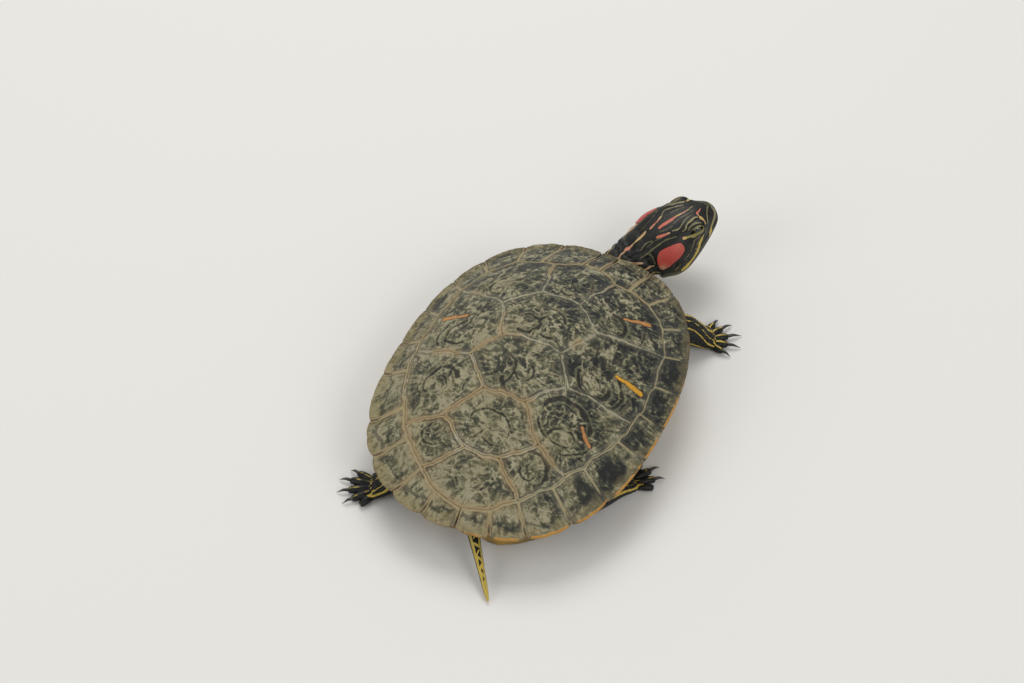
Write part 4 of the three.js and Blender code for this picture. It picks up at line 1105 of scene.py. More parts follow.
# Head and neck in one: sections go from an ellipse at the neck to the head's squarer form, along one path.
# Over its widest level a section is rounder, and under it squarer: each half has its own powers of sine and
# cosine.
def headAndNeckRings(around=216):
    backs = np.array([48, 42, 36, 30, 24, 18, 12, 7, 3, 0.0])
    axis = headPlace(np.stack([backs, 0 * backs, 0 * backs], -1))
    sizes = [headSize(column, backs) for column in ("wide", "top", "under", "drop")]
    bends = np.tile(head["crownBends"] + head["jawBends"], (10, 1))
    headPart = np.column_stack([axis, *sizes, bends, backs])
    neckPart = [(x, y, z, wide, tall, tall, 0, 1, 1, 1, 1, 48 + gap) for (x, y, z, wide, tall),
                gap in zip(neckStations, (63, 43, 27, 13))]
    table = np.concatenate([np.array(neckPart, float), headPart])
    fine = readStations(table, np.linspace(0, 1, 3000))
    length = np.concatenate([[0], np.cumsum(np.linalg.norm(np.diff(fine[:, :3], axis=0), axis=-1))])
    total = length[-1]
    neckSteps = np.linspace(0.2, total - 52, 74)
    headSteps = total - 52 + np.linspace(0, 1, 130)[1:] ** 0.93 * 52
    steps = np.concatenate([neckSteps, np.minimum(headSteps, total - 0.02)])
    at = np.stack([np.interp(steps, length, fine[:, n]) for n in range(fine.shape[1])], -1)
    ahead = unit(np.gradient(at[:, :3], axis=0))
    left = unit(np.cross(upward, ahead))
    over = np.cross(ahead, left)
    angle = 2 * np.pi * np.arange(around)[None] / around
    close = np.sqrt(1 - (1 - np.clip((total - steps) / 1.7, 0.005, 1)) ** 2) * np.sqrt(1
        - (1 - np.clip(steps / 5, 0.01, 1)) ** 2)
    half, top, under, drop, crownWide, crownTall, jawWide, jawTall = (at[:, n:n + 1] for n in range(3, 11))
    sin, cos = np.sin(angle), np.cos(angle)
    wide = half * np.sign(sin) * np.abs(sin) ** np.where(cos > 0, crownWide, jawWide)
    tall = np.where(cos > 0, (top + drop) * np.abs(cos) ** crownTall,
                    (drop - under) * np.abs(cos) ** jawTall) - drop
    rings = at[:, None, :3] + left[:, None] * (wide * close[:, None])[..., None] + over[:,
        None] * (tall * close[:, None])[..., None]
    return rings, at[:, 11], np.degrees(angle[0])


# The head's relief: mouth, nostrils, brows, ear drums, jaw angle, and the slack folds of the neck behind it.
def headRelief(rings, back):
    place = inHead(rings)
    mirrored = place * [1, 0, 1] + np.abs(place) * [0, 1, 0]
    mouth = np.array(head["mouth"], float)
    mouth[:, 1] = np.interp(mouth[:, 0], *np.array(head["wide"]).T) * 0.97
    toMouth = distanceToLine(mirrored, mouth)
    toNostril = np.linalg.norm(mirrored - head["nostril"], axis=-1)
    relief = -0.5 * np.exp(-(toMouth / 0.45) ** 2) + 0.16 * np.exp(-((toMouth - 1.2) / 0.7) ** 2)
    relief = relief - 0.7 * np.exp(-(toNostril / 0.5) ** 2)
    toDrum = np.linalg.norm((mirrored - [33, 18, -3.5]) * [1, 0.6, 1], axis=-1)
    relief = relief - 0.35 * np.exp(-((toDrum - 4.2) / 0.9) ** 2)
    brow = np.linalg.norm((mirrored - [14, 8.5, 9.6]) * [0.32, 0.8, 1.1], axis=-1)
    relief = relief + 0.45 * np.exp(-(brow / 1.5) ** 2)
    eye = (mirrored - head["eye"] - [head["lidShift"], 0, 0]) / head["lidStretch"]
    fromLid = np.abs(np.linalg.norm(eye, axis=-1) - head["eyeRadius"] - head["lid"])
    relief = relief + 0.75 * np.exp(-(fromLid / 1.5) ** 2)
    cheek = np.linalg.norm((mirrored - [24, 17, -6]) * [0.6, 0.6, 1], axis=-1)
    relief = relief + 0.35 * np.exp(-(cheek / 4) ** 2)
    slack = smoothStep(back, 38, 54)[:, None]
    sway = layeredNoise(rings, 8.0, 2, 21) * 6
    folds = -np.abs(np.sin(np.pi * (back[:, None] + sway) / 4.6)) ** 4
    fine = layeredNoise(rings, 1.4, 2, 31) - 0.5
    longFolds = -np.abs(np.sin(np.arctan2(place[..., 1], place[..., 2]) * 9 + sway * 0.35)) ** 6
    return relief + slack * (0.75 * folds + 0.35 * longFolds + 0.3 * fine) + 0.05 * fine


# A ball, as rings from near one pole to near the other.
def ballRings(centre, radius, rows=32, around=48):
    lift = np.radians(np.linspace(-87, 87, rows))[:, None]
    angle = 2 * np.pi * np.arange(around)[None] / around
    ball = np.stack([np.cos(lift) * np.cos(angle), np.cos(lift) * np.sin(angle), np.sin(lift) + 0 * angle],
                    -1)
    return np.asarray(centre) + ball * radius


# The eye's own axes: outwards, along the lids' gap and across it.
def eyeAxes(side):
    outward = unit(np.array(head["eyeTurn"]) * [1, side, 1])
    lengthwise = unit(np.array([1, 0, 0]) - outward * outward[0])
    return outward @ headAxis, lengthwise @ headAxis, np.cross(outward, lengthwise) @ headAxis


# The middle of one eye.
def eyeCentre(side):
    back, out, over = head["eye"]
    return headPlace([back, side * out, over])


# Directions from the eye's middle along the almond of its lids, so many degrees wider than the gap between
# them.
def lidDirection(side, around, wider=0.0):
    outward, lengthwise, crosswise = eyeAxes(side)
    angle = np.radians(around)[..., None]
    wide, tall = (np.tan(np.radians(head[name] + wider))[..., None] for name in ("openWide", "openTall"))
    return unit(outward + lengthwise * wide * np.cos(angle) + crosswise * tall * bent(np.sin(angle), 1.15))


# The lids swell as a ball drawn out along the head; this gives its rings, a little behind the eye.
def lidRings(side):
    back, out, over = head["eye"]
    ball = ballRings((0, 0, 0), head["eyeRadius"] + head["lid"], 40, 64) * head["lidStretch"]
    return headPlace(ball + [back + head["lidShift"], side * out, over])


# Where a line out of the eye's middle leaves that drawn-out ball.
def onLid(side, around, wider):
    direction = (lidDirection(side, around, np.minimum(wider, 40)) @ headAxis.T) / head["lidStretch"]
    start = np.array([-head["lidShift"], 0, 0]) / head["lidStretch"]
    length, across = (direction ** 2).sum(-1), direction @ start
    reach = (np.sqrt(across ** 2 - length * (start @ start - (head["eyeRadius"] + head["lid"]) ** 2))
             - across) / length
    return eyeCentre(side) + (direction * head["lidStretch"] * reach[:, None]) @ headAxis


# The cutter between the lids: rays round their almond, 0.3 to 1.9 of the eye's radius long.
def lidGapRings(side):
    directions = lidDirection(side, np.arange(56)[None] * 360 / 56)
    reach = np.linspace(0.3, 1.9, 10)[:, None, None] * head["eyeRadius"]
    return eyeCentre(side) + directions * reach


# Puts the mesh that the modifiers make in place of the piece's own.
def applyModifiers(piece):
    graph = bpy.context.evaluated_depsgraph_get()
    done = bpy.data.meshes.new_from_object(piece.evaluated_get(graph))
    piece.modifiers.clear()
    old = piece.data
    piece.data = done
    bpy.data.meshes.remove(old)


# Joins closed pieces to the first one or cuts them out of it, all at once.
def combine(base, others, operation):
    for other in others:
        modifier = base.modifiers.new(operation.lower(), "BOOLEAN")
        modifier.object = other
        modifier.operation = operation
        modifier.solver = "MANIFOLD"
    applyModifiers(base)
    for other in others:
        mesh = other.data
        bpy.data.objects.remove(other)
        bpy.data.meshes.remove(mesh)
    return base


# A leg: a creased limb, joined with its toes and the webs between them.
def makeLeg(leg):
    kind = leg[:4]
    inside = -flesh["inside"]
    rings, _ = limbRings(legStations[leg], 96, 84, inside)
    base = makeTube(leg, creased(rings, 0.45, 5.0, 0.22, len(leg)))
    toes = [makeTube("toe", toeRings(leg, toe)) for toe in toeTable[kind]]
    webs = [makeTube("web", webRings(leg, a, b, webReach[kind])) for a,
            b in zip(toeTable[kind], toeTable[kind][1:])]
    return combine(base, toes + webs, "UNION")


# The whole skin: its parts joined into one, then the eyes' sockets and lid gaps cut out.
def makeSkin():
    skin = makeTube("skin", trunkRings())
    rings, back, _ = headAndNeckRings()
    rings = rings + gridNormals(rings) * (headRelief(rings, back) - 0.1)[..., None]
    tail, _ = limbRings(tailStations, 110, 44, -0.2)
    parts = [makeTube("headAndNeck", rings), makeTube("tail", creased(tail, 0.3, 2.6, 0.12, 9))]
    parts += [makeTube("lids", lidRings(side)) for side in (1, -1)]
    combine(skin, parts + [makeLeg(leg) for leg in legStations], "UNION")
    cuts = [makeTube("socket", ballRings(eyeCentre(side), head["eyeRadius"] + 0.04)) for side in (1, -1)]
    cuts += [makeTube("gap", lidGapRings(side)) for side in (1, -1)]
    combine(skin, cuts, "DIFFERENCE")
    points = pointsOf(skin)
    points[:, 2] = np.maximum(points[:, 2], flesh["soleHeight"])
    skin.data.vertices.foreach_set("co", (points * mm).ravel())
    skin.data.shade_smooth()
    return skin


skin = makeSkin()
print("skin joined:", len(skin.data.polygons), "faces")

# Markings: stripes drawn on the skin, each a line of places with its half width and tint there.
# Tint runs from 0 olive, 0.3 yellow-green, 0.5 yellow, 0.7 cream and 0.85 orange to 1 red.
# On the head a place is how far back it is and its angle from the crown towards the left;
# on a leg or the tail it is its share of the length and its angle from the top towards the front.
headStripes = {
    "asMeasured": [
        [(34.5, -4, 0.25, 0.86), (32.8, -3, 0.85, 0.9), (27.6, -3, 1.0, 0.88), (23, -2, 0.7, 0.82),
         (21.5, -2, 0.4, 0.6)],
        [(21.5, -2, 0.4, 0.5), (18.8, -2, 0.62, 0.74), (15.8, -1, 0.6, 0.72), (14, 0, 0.35, 0.4),
         (11, 5, 0.23, 0.1)],
        [(38.6, 2, 0.35, 0.74), (37, 3, 0.75, 0.78), (33.2, 5, 0.55, 0.82), (30.6, 8, 0.5, 0.7),
         (28.8, 11, 0.31, 0.3)],
        [(28.8, 11, 0.27, 0.15), (25.6, 20, 0.33, 0.25), (22, 19, 0.36, 0.28), (18.6, 17, 0.33, 0.28),
         (15.5, 15, 0.23, 0.2)],
        [(38.4, -15, 0.3, 0.85), (36.8, -16, 0.75, 0.88), (32.6, -19, 0.6, 0.84), (30.4, -20, 0.45, 0.5),
         (28.2, -21, 0.31, 0.25)],
        [(28.2, -21, 0.31, 0.2), (25.8, -24, 0.52, 0.3), (23.4, -23, 0.33, 0.22), (20.4, -18, 0.33, 0.2),
         (17, -15, 0.29, 0.15), (14, -15, 0.23, 0.1)],
        [(8, -6, 0.3, 0.82), (9.6, -13, 0.5, 0.86), (11.4, -18, 0.6, 0.86), (11.6, -27, 0.4, 0.55)],
        [(11.7, -30, 0.6, 0.6), (11.5, -36, 0.95, 0.62), (11.2, -43, 0.75, 0.6), (11, -49, 0.7, 0.76),
         (12, -54, 0.4, 0.5)],
        [(12.9, 26, 0.35, 0.6), (11.4, 32, 0.6, 0.64), (10.4, 42, 0.6, 0.55), (8.7, 46, 0.31, 0.3)],
        [(30, 49, 0.31, 0.2), (24, 50, 0.39, 0.3), (20, 49, 0.39, 0.3), (16, 48, 0.33, 0.3)],
        [(43.4, 40, 0.5, 0.7), (45.2, 43, 1.5, 0.7), (47.2, 46, 1.8, 0.66), (50, 48, 0.9, 0.62)],
        [(41, 3, 0.4, 0.6), (42.6, 2, 0.85, 0.66), (45, 1, 0.7, 0.64), (48.6, 1, 0.42, 0.62),
         (51, 1, 0.7, 0.76), (52.6, 2, 1.15, 0.8), (55, 3, 0.8, 0.74),
         (60, 3, 0.45, 0.64), (111, 2, 0.4, 0.6)],
        [(49, -19, 0.31, 0.12), (47, -17, 0.36, 0.2), (44.5, -15, 0.33, 0.2), (41, -17, 0.28, 0.1)],
        [(61, -19, 0.6, 0.7), (57.5, -29, 0.85, 0.7), (54.5, -41, 0.7, 0.7), (52, -51, 0.45, 0.68)],
        [(45.5, -24, 0.23, 0.05), (41, -19, 0.28, 0.05), (36.5, -20, 0.23, 0.05)],
        [(35, -9, 0.23, 0.05), (31, -12, 0.28, 0.05), (27, -12, 0.23, 0.05)],
        [(44, 12, 0.23, 0.05), (40, 12, 0.31, 0.08), (35.6, 15, 0.31, 0.08), (32, 20, 0.23, 0.05)],
        [(26, -10, 0.23, 0.05), (21, -8, 0.31, 0.1), (16.5, -8, 0.31, 0.1), (12.5, -6, 0.23, 0.08)],
        [(26.5, 7, 0.23, 0.05), (21, 8, 0.28, 0.08), (15.5, 8, 0.23, 0.08)],
        [(30.5, 24, 0.23, 0.05), (27, 33, 0.31, 0.1), (22, 36, 0.29, 0.15), (18, 33, 0.27, 0.1)],
    ],
    "bothSides": [
        [(1.6, 3, 0.59, 0.25), (1.7, 25, 0.92, 0.27), (1.5, 48, 1.05, 0.3), (2.8, 70, 1.05, 0.3),
         (5.2, 82, 0.92, 0.34), (7.6, 90, 1.0, 0.42),
         (9.2, 96, 1.3, 0.56), (10.8, 102, 0.7, 0.52)],
        [(3.4, 3, 0.34, 0.15), (4.3, 12, 0.29, 0.22), (6.4, 33, 0.29, 0.22), (8.4, 55, 0.39, 0.3),
         (9.6, 63, 0.27, 0.2)],
        [(25.6, 47, 0.9, 0.7), (23.6, 51, 0.55, 0.42), (20, 57, 0.5, 0.4), (17, 62, 0.42, 0.35),
         (14, 66, 0.34, 0.35), (12.4, 60, 0.23, 0.3)],
        [(51, 36, 0.27, 0.15), (46.2, 37, 0.33, 0.15), (42.4, 32, 0.33, 0.18), (38.5, 28.5, 0.29, 0.15),
         (34, 28.5, 0.31, 0.12), (28.8, 34, 0.31, 0.12)],
        [(46.6, 42, 0.31, 0.1), (46, 56, 0.29, 0.14), (47, 77, 0.31, 0.12)],
        [(24.5, 34, 0.31, 0.1), (22.4, 34, 0.39, 0.26), (20, 28, 0.46, 0.3), (17, 27, 0.63, 0.34),
         (14.6, 25, 0.5, 0.34), (13, 28, 0.31, 0.3)],
        [(21.4, 40, 0.31, 0.15), (19.4, 37, 0.39, 0.22), (16.4, 38, 0.39, 0.26), (14, 45, 0.33, 0.26),
         (12.8, 53, 0.42, 0.34)],
        [(20.4, 46, 0.23, 0.12), (18, 45, 0.33, 0.16), (15.6, 50, 0.28, 0.16)],
        [(37.6, 97, 0.4, 0.4), (33.8, 92, 0.45, 0.4), (28, 88, 0.31, 0.3), (26.6, 84, 0.23, 0.12)],
        [(25.6, 85, 0.31, 0.15), (22.6, 77, 0.33, 0.18), (20.4, 70, 0.31, 0.15)],
        [(23.6, 93, 0.23, 0.1), (20.6, 86, 0.31, 0.12), (17.8, 76, 0.28, 0.12)],
        [(11.4, 66, 0.27, 0.12), (12.4, 77, 0.33, 0.14), (12.4, 91, 0.31, 0.12)],
        [(14.4, 81, 0.45, 0.4), (16, 85, 1.0, 0.5), (18.4, 90, 1.15, 0.5), (22, 95, 1.05, 0.5),
         (26.5, 98, 0.95, 0.5), (29.4, 101, 1.0, 0.5),
         (32, 105, 1.5, 0.5), (34, 106, 1.0, 0.5)],
        [(24, 118, 0.23, 0.2), (34, 124, 0.31, 0.3), (44, 124, 0.45, 0.4), (60, 120, 0.5, 0.5),
         (110, 112, 0.4, 0.5)],
        [(3, 116, 0.3, 0.4), (9, 130, 0.45, 0.5), (20, 141, 0.55, 0.5), (34, 143, 0.6, 0.5),
         (60, 143, 0.5, 0.5), (110, 140, 0.45, 0.5)],
        [(26, 180, 0.6, 0.5), (15, 168, 0.55, 0.5), (6, 150, 0.45, 0.5), (2.5, 140, 0.3, 0.4)],
        [(25, 180, 0.7, 0.5), (60, 180, 0.65, 0.5), (110, 180, 0.5, 0.5)],
        [(110, 38, 0.4, 0.6), (70, 40, 0.45, 0.62), (62, 44, 0.5, 0.64), (56, 46, 0.35, 0.5)],
        [(110, 62, 0.5, 0.66), (62, 66, 0.55, 0.68), (52, 74, 0.6, 0.68), (48.5, 80, 0.4, 0.66)],
        [(110, 88, 0.45, 0.5), (62, 94, 0.5, 0.5), (50, 100, 0.45, 0.5), (46, 108, 0.3, 0.4)],
        [(110, 50, 0.3, 0.3), (70, 51, 0.34, 0.3), (54, 55, 0.23, 0.2)],
    ],
    "patch": [(31, -59, 3.4, 0.97), (34.6, -61, 4.5, 1), (38.8, -64, 5.2, 1), (40.6, -71, 4.8, 1),
              (41.6, -79, 3.9, 0.93), (42.6, -87, 2.6, 0.76)],
    "leftShift": -11,
    "lids": [
        [(6, 2.5, 0.25, 0.2), (50, 4, 0.4, 0.22), (95, 4.5, 0.45, 0.26), (145, 3.5, 0.4, 0.34),
         (174, 3, 0.5, 0.45)],
        [(-14, 5, 0.35, 0.3), (-50, 7, 0.5, 0.34), (-90, 8, 0.55, 0.36), (-130, 7, 0.5, 0.36),
         (-166, 5, 0.4, 0.4)],
        [(-30, 24, 0.25, 0.12), (-70, 27, 0.4, 0.14), (-110, 27, 0.4, 0.14), (-150, 22, 0.25, 0.12)],
    ],
    # The black bars before and behind each eye: the eye's dark band, and partly painted shadow.
    "bar": [(31, -16, 0.2), (28, -27, 0.6), (25.6, -36, 0.8), (23, -44, 0.9), (20.6, -49, 1.0),
            (19.4, -51, 1.0)],
    "barFront": [(13, -59, 0.8), (11.6, -62, 0.6), (10.4, -64, 0.2)],
}
legStripes = {
    "fore": [
        [(0.2, 34, 0.8), (0.42, 30, 1.4), (0.5, 28, 1.0), (0.57, 26, 1.35), (0.7, 22, 1.2), (0.86, 12, 0.9),
         (0.97, 4, 0.6)],
        [(0.2, 96, 0.4), (0.5, 92, 0.5), (0.75, 74, 0.5), (0.95, 52, 0.4)],
        [(0.2, -2, 0.3), (0.5, -8, 0.35), (0.7, -24, 0.3), (0.9, -36, 0.25)],
        [(0.2, -32, 0.4), (0.5, -40, 0.5), (0.72, -58, 0.5), (0.9, -74, 0.45)],
        [(0.2, 130, 0.5), (0.55, 120, 0.6), (0.75, 96, 0.5), (0.92, 66, 0.4)],
        [(0.2, -100, 0.6), (0.6, -104, 0.7), (0.85, -110, 0.5)],
    ],
    "hind": [
        [(0.2, -68, 0.7), (0.45, -67, 0.9), (0.65, -67, 0.85), (0.82, -68, 0.7), (0.97, -70, 0.55)],
        [(0.2, -20, 0.4), (0.5, -26, 0.5), (0.75, -36, 0.45), (0.92, -44, 0.3)],
        [(0.25, 20, 0.35), (0.55, 16, 0.4), (0.8, 6, 0.4), (0.95, 2, 0.35)],
        [(0.2, 62, 0.5), (0.5, 68, 0.6), (0.75, 74, 0.6), (0.92, 70, 0.4)],
        [(0.2, 110, 0.6), (0.6, 112, 0.7), (0.85, 112, 0.5)],
    ],
    "toe": {"fore": [(-0.1, 0, 0.2), (0.2, 0, 0.5), (0.85, 0, 0.42), (1, 0, 0.1)],
            "hind": [(-0.1, 0, 0.15), (0.2, 0, 0.36), (0.85, 0, 0.3), (1, 0, 0.1)]},
    "tint": 0.52,
}
tailStripes = [
    [(0.1, 46, 0.7, 0.4), (0.3, 50, 1.0, 0.42), (0.5, 48, 0.95, 0.46), (0.75, 42, 0.8, 0.5),
     (0.98, 30, 0.8, 0.52)],
    [(0.1, -46, 0.7, 0.4), (0.3, -50, 1.0, 0.42), (0.5, -48, 0.8, 0.46), (0.75, -42, 0.7, 0.5),
     (0.98, -30, 0.8, 0.52)],
    [(0.1, 128, 0.8, 0.4), (0.4, 128, 0.8, 0.4), (0.98, 130, 0.6, 0.42)],
    [(0.1, -128, 0.8, 0.4), (0.4, -128, 0.8, 0.4), (0.98, -130, 0.6, 0.42)],
]
# Flecks cross the back of the tail from stripe to stripe, closer together towards its end
for place, side in zip((0.42, 0.5, 0.57, 0.63, 0.68, 0.74, 0.79, 0.84, 0.89, 0.94), (1, -1) * 5):
    tailStripes.append([(place, 34 * side, 0.4, 0.48), (place + 0.02, 6 * side, 0.55, 0.52),
                        (place + 0.045, -22 * side, 0.3, 0.5)])
stripeSway, stripeReach = 0.8, 2.2


# The place on the plain head-and-neck loft for a distance back and an angle, read from its rings.
plainRings, plainBack, _ = headAndNeckRings(72)


# A place on head and neck: its four nearest grid points, each weighted by nearness.
def onHeadAndNeck(back, degrees):
    rows = np.interp(back, plainBack[::-1], np.arange(len(plainBack))[::-1])
    columns = np.mod(degrees, 360) / 5
    row, column = np.floor(rows).astype(int), np.floor(columns).astype(int)
    after = np.minimum(row + 1, len(plainRings) - 1)
    s, t = (rows - row)[:, None], (columns - column)[:, None]
    near = plainRings[row, column % 72] * (1 - t) + plainRings[row, (column + 1) % 72] * t
    far = plainRings[after, column % 72] * (1 - t) + plainRings[after, (column + 1) % 72] * t
    return near * (1 - s) + far * s


# A place on a limb, its degrees counted from the top.
def onLimb(stations, share, degrees, side):
    return limbPoints(stations, share, np.radians(90 - side * degrees))


# How deep every point lies inside a stripe: the half width less the distance, and the tint there.
# Up to a depth of folds, distance along the line's own outward direction counts for nothing.
def depthInStripe(points, line, outward, half, tint):
    start, along = line[:-1], line[1:] - line[:-1]
    fromStart = points[:, None] - start
    share = np.clip((fromStart * along).sum(-1) / np.maximum((along * along).sum(-1), 1e-9), 0, 1)
    offset = fromStart - share[..., None] * along
    raised = (offset * outward[:-1]).sum(-1)
    offset = offset - np.clip(raised, -stripeReach, stripeReach)[..., None] * outward[:-1]
    depth = half[:-1] + (half[1:] - half[:-1]) * share - np.linalg.norm(offset, axis=-1)
    best = depth.argmax(1)
    rows = np.arange(len(points))
    return depth[rows, best], (tint[:-1] + (tint[1:] - tint[:-1]) * share)[rows, best]


# Draws one stripe into the two fields wherever it lies deeper than what is there;
# where it meets a stripe of another tint, both stop short and leave a dark gap.
def drawStripe(points, fields, table, place, tint=None, stretch=0.5):
    smooth = readStations(table, np.linspace(0, 1, len(table) * 5))
    line = place(smooth[:, 0], smooth[:, 1])
    across = place(smooth[:, 0], smooth[:, 1] + 3) - place(smooth[:, 0], smooth[:, 1] - 3)
    lengthwise = place(smooth[:, 0] + stretch, smooth[:, 1]) - place(smooth[:, 0] - stretch, smooth[:, 1])
    outward = unit(np.cross(across, lengthwise) + 1e-6)
    tints = smooth[:, 3] if tint is None else np.full(len(smooth), tint)
    close = np.nonzero(((points > line.min(0) - 4) & (points < line.max(0) + 4)).all(1))[0]
    sway = stripeSway * (layeredNoise(points[close], 2.2, 3, 77) - 0.5)
    depth, own = depthInStripe(points[close], line, outward, smooth[:, 2], tints)
    depth = depth + sway
    before, tintBefore = fields[:, close]
    most = np.maximum(depth, before)
    apart = np.minimum(most, np.abs(depth - before) - 0.4)
    fields[0, close] = np.where(np.abs(own - tintBefore) > 0.2, apart, most)
    fields[1, close] = np.where(depth > before, own, tintBefore)


# Draws every stripe on the skin: depth inside it and its tint. The eyes' dark bars cut them; on the skin
# these bars are the eye's dark band carried on, and partly painted shadow.
def markSkin(points):
    fields = np.stack([np.full(len(points), -3.0), np.zeros(len(points))])
    for table in headStripes["asMeasured"]:
        drawStripe(points, fields, table, onHeadAndNeck)
    for side in (1, -1):
        turned = [1, side, 1, 1]
        for table in headStripes["bothSides"]:
            drawStripe(points, fields, np.array(table) * turned, onHeadAndNeck)
        shift = [0, headStripes["leftShift"] if side == -1 else 0, 0, 0]
        drawStripe(points, fields, (np.array(headStripes["patch"]) - shift) * [1, side, 1, 1], onHeadAndNeck)
        for table in headStripes["lids"]:
            drawStripe(points, fields, table, lambda around, wider: onLid(side, around, wider), stretch=4)
    for leg, stations in legStations.items():
        side = 1 if leg.endswith("Left") else -1
        for table in legStripes[leg[:4]]:
            drawStripe(points, fields, table, lambda share, degrees: onLimb(stations, share, degrees, side),
                       legStripes["tint"], 0.01)
        for toe in toeTable[leg[:4]]:
            root, _, tip, _ = toeLine(leg, toe)
            ridge = root + upward * toe[2] * 0.9
            sideways = unit(np.cross(upward, tip - root))
            onToe = lambda share, away: ridge + (tip - root) * share[:,
                None] + sideways * np.asarray(away)[:, None] * 0.1
            drawStripe(points, fields, legStripes["toe"][leg[:4]], onToe, legStripes["tint"], 0.01)
    for table in tailStripes:
        drawStripe(points, fields, table, lambda share, degrees: onLimb(tailStations, share, degrees, 1),
                   None, 0.01)
    # The eyes' bars, black on the skin: partly painted shadow.
    black = np.stack([np.full(len(points), -3.0), np.zeros(len(points))])
    for table in (headStripes["bar"], headStripes["barFront"]):
        for side in (1, -1):
            drawStripe(points, black, np.array(table) * [1, -side, 1], onHeadAndNeck, 0)
    fields[0] = np.where(black[0] > -0.15, np.minimum(fields[0], -black[0] - 0.2), fields[0])
    return fields


skinLook = {
    "dark": "161814", "olive": "35382a", "under": "6e6a3e", "black": "090a09", "roughness": 0.5,
    "tints": [(0.0, "47452f"), (0.15, "625d42"), (0.3, "8c8560"), (0.42, "958a48"), (0.5, "bda445"),
              (0.58, "c2a855"), (0.66, "b99a74"),
              (0.75, "bb8767"), (0.85, "bd6d56"), (0.94, "bf5f4c"), (1.0, "b64a40")],
}


# Fine pebbled skin, shared by the skin and its scales: close grains and a finer tooth.
def grainGroup():
    group = bpy.data.node_groups.new("pebbledSkin", "ShaderNodeTree")
    face = group.interface
    face.new_socket("Place", in_out="INPUT", socket_type="NodeSocketVector")
    face.new_socket("Grain", in_out="INPUT", socket_type="NodeSocketFloat").default_value = 0.9
    for name in ("Height", "Tone"):
        face.new_socket(name, in_out="OUTPUT", socket_type="NodeSocketFloat")
    taken = group.nodes.new("NodeGroupInput").outputs
    given = group.nodes.new("NodeGroupOutput").inputs
    scale = calc(group, "DIVIDE", 1 / mm, taken["Grain"])
    cells = group.nodes.new("ShaderNodeTexVoronoi")
    cells.feature = "SMOOTH_F1"
    cells.inputs["Smoothness"].default_value = 0.35
    feed(group, cells.inputs["Vector"], taken["Place"])
    feed(group, cells.inputs["Scale"], scale)
    fine = group.nodes.new("ShaderNodeTexNoise")
    fine.inputs["Detail"].default_value = 3.0
    feed(group, fine.inputs["Vector"], taken["Place"])
    feed(group, fine.inputs["Scale"], calc(group, "MULTIPLY", scale, 0.5))
    rounded = calc(group, "SUBTRACT", 1.0, cells.outputs["Distance"])
    feed(group, given["Height"], calc(group, "MULTIPLY_ADD", fine.outputs["Fac"], 0.5, rounded))
    feed(group, given["Tone"], fine.outputs["Fac"])
    return group


grain = grainGroup()


# Dark wet skin: olive mottling, thin olive lines, black beside the stripes, and the stripes themselves.
def skinMaterial(look):
    material, tree, shader = newMaterial("stripedSkin")
    place = placeIn(tree)
    stripe = readField(tree, "stripe")
    bare = readField(tree, "bare")
    film = useGroup(tree, silt, Place=place, Size=2.1, Line=0.035, Cover=0.55)
    pebbles = useGroup(tree, grain, Place=place, Grain=0.75)
    base = blend(tree, film["Clouds"], colour(look["dark"]), colour(look["black"]))
    lines = times(tree, film["Squiggles"], 0.5)
    base = blend(tree, lines, base, colour(look["olive"]))
    base = blend(tree, times(tree, bare, 0.75), base, colour(look["under"]))
    # Black beside every stripe; it also fills the eyes' bars, which are partly painted shadow.
    beside = times(tree, step(tree, stripe, -1.3, -0.35), 0.85)
    base = blend(tree, beside, base, colour(look["black"]))
    tint = tintRamp(tree, readField(tree, "tint"), look["tints"])
    mottle = timesPlus(tree, film["Specks"], 0.5, 0.72, clamp=True)
    faint = step(tree, readField(tree, "tint"), 0.4, 0.2)
    worn = times(tree, faint, timesPlus(tree, film["Specks"], -2.4, 1.55, clamp=True))
    soft = times(tree, faint, 0.16)
    edge = calc(tree, "ADD", stripe, soft)
    inside = times(tree, step(tree, edge, -0.1, 0.14), mottle)
    inside = times(tree, inside, timesPlus(tree, worn, -0.55, 1.0))
    base = blend(tree, inside, base, tint)
    feed(tree, shader.inputs["Base Color"], base)
    wet = timesPlus(tree, pebbles["Tone"], 0.3, look["roughness"] - 0.15)
    feed(tree, shader.inputs["Roughness"], wet)
    shader.inputs["Specular IOR Level"].default_value = 0.28
    shader.inputs["Coat Weight"].default_value = 0.07
    shader.inputs["Coat Roughness"].default_value = 0.2
    smooth = readField(tree, "smooth")
    height = times(tree, pebbles["Height"], timesPlus(tree, smooth, -0.8, 1.0))
    feed(tree, shader.inputs["Normal"], bumpOf(tree, height, 0.22, 0.6))
    return material


# Paler under the chin and jaw; smooth horn over the head.
def coatFields(piece):
    points = pointsOf(piece)
    stripe, tint = markSkin(points)
    place = inHead(points)
    onTheHead = (place[:, 0] < 50) & (place[:, 0] > -4) & (np.linalg.norm(place[:, 1:], axis=-1) < 24)
    smooth = np.where(onTheHead, 1 - smoothStep(place[:, 0], 38, 50), 0)
    chin = np.where(onTheHead, smoothStep(-place[:, 2], 6, 11), 0)
    setField(piece, "stripe", stripe)
    setField(piece, "tint", tint)
    setField(piece, "smooth", smooth)
    setField(piece, "bare", chin)


legNodes = [f"{kind}_{side}_{part}" for kind in ("fore", "hind") for side in ("right", "left")
            for part in ("upper", "lower", "foot")]
coatFields(skin)
settle(skin, skinMaterial(skinLook), "skin", "trunk", "neck", "head", "lower_jaw", "tail_root", "tail_tip",
       *legNodes)
print("skin marked")


# Limb scales: rows of low domed plates over the lower legs and feet, lapping towards the toes
scaleLook = {
    "start": 0.44, "end": 0.955, "rows": {"fore": 15, "hind": 15}, "columns": 17, "dome": 0.2, "lap": 0.22,
    "sunk": 0.6,
    "wide": 0.53, "long": 0.62, "spread": 0.12,
}


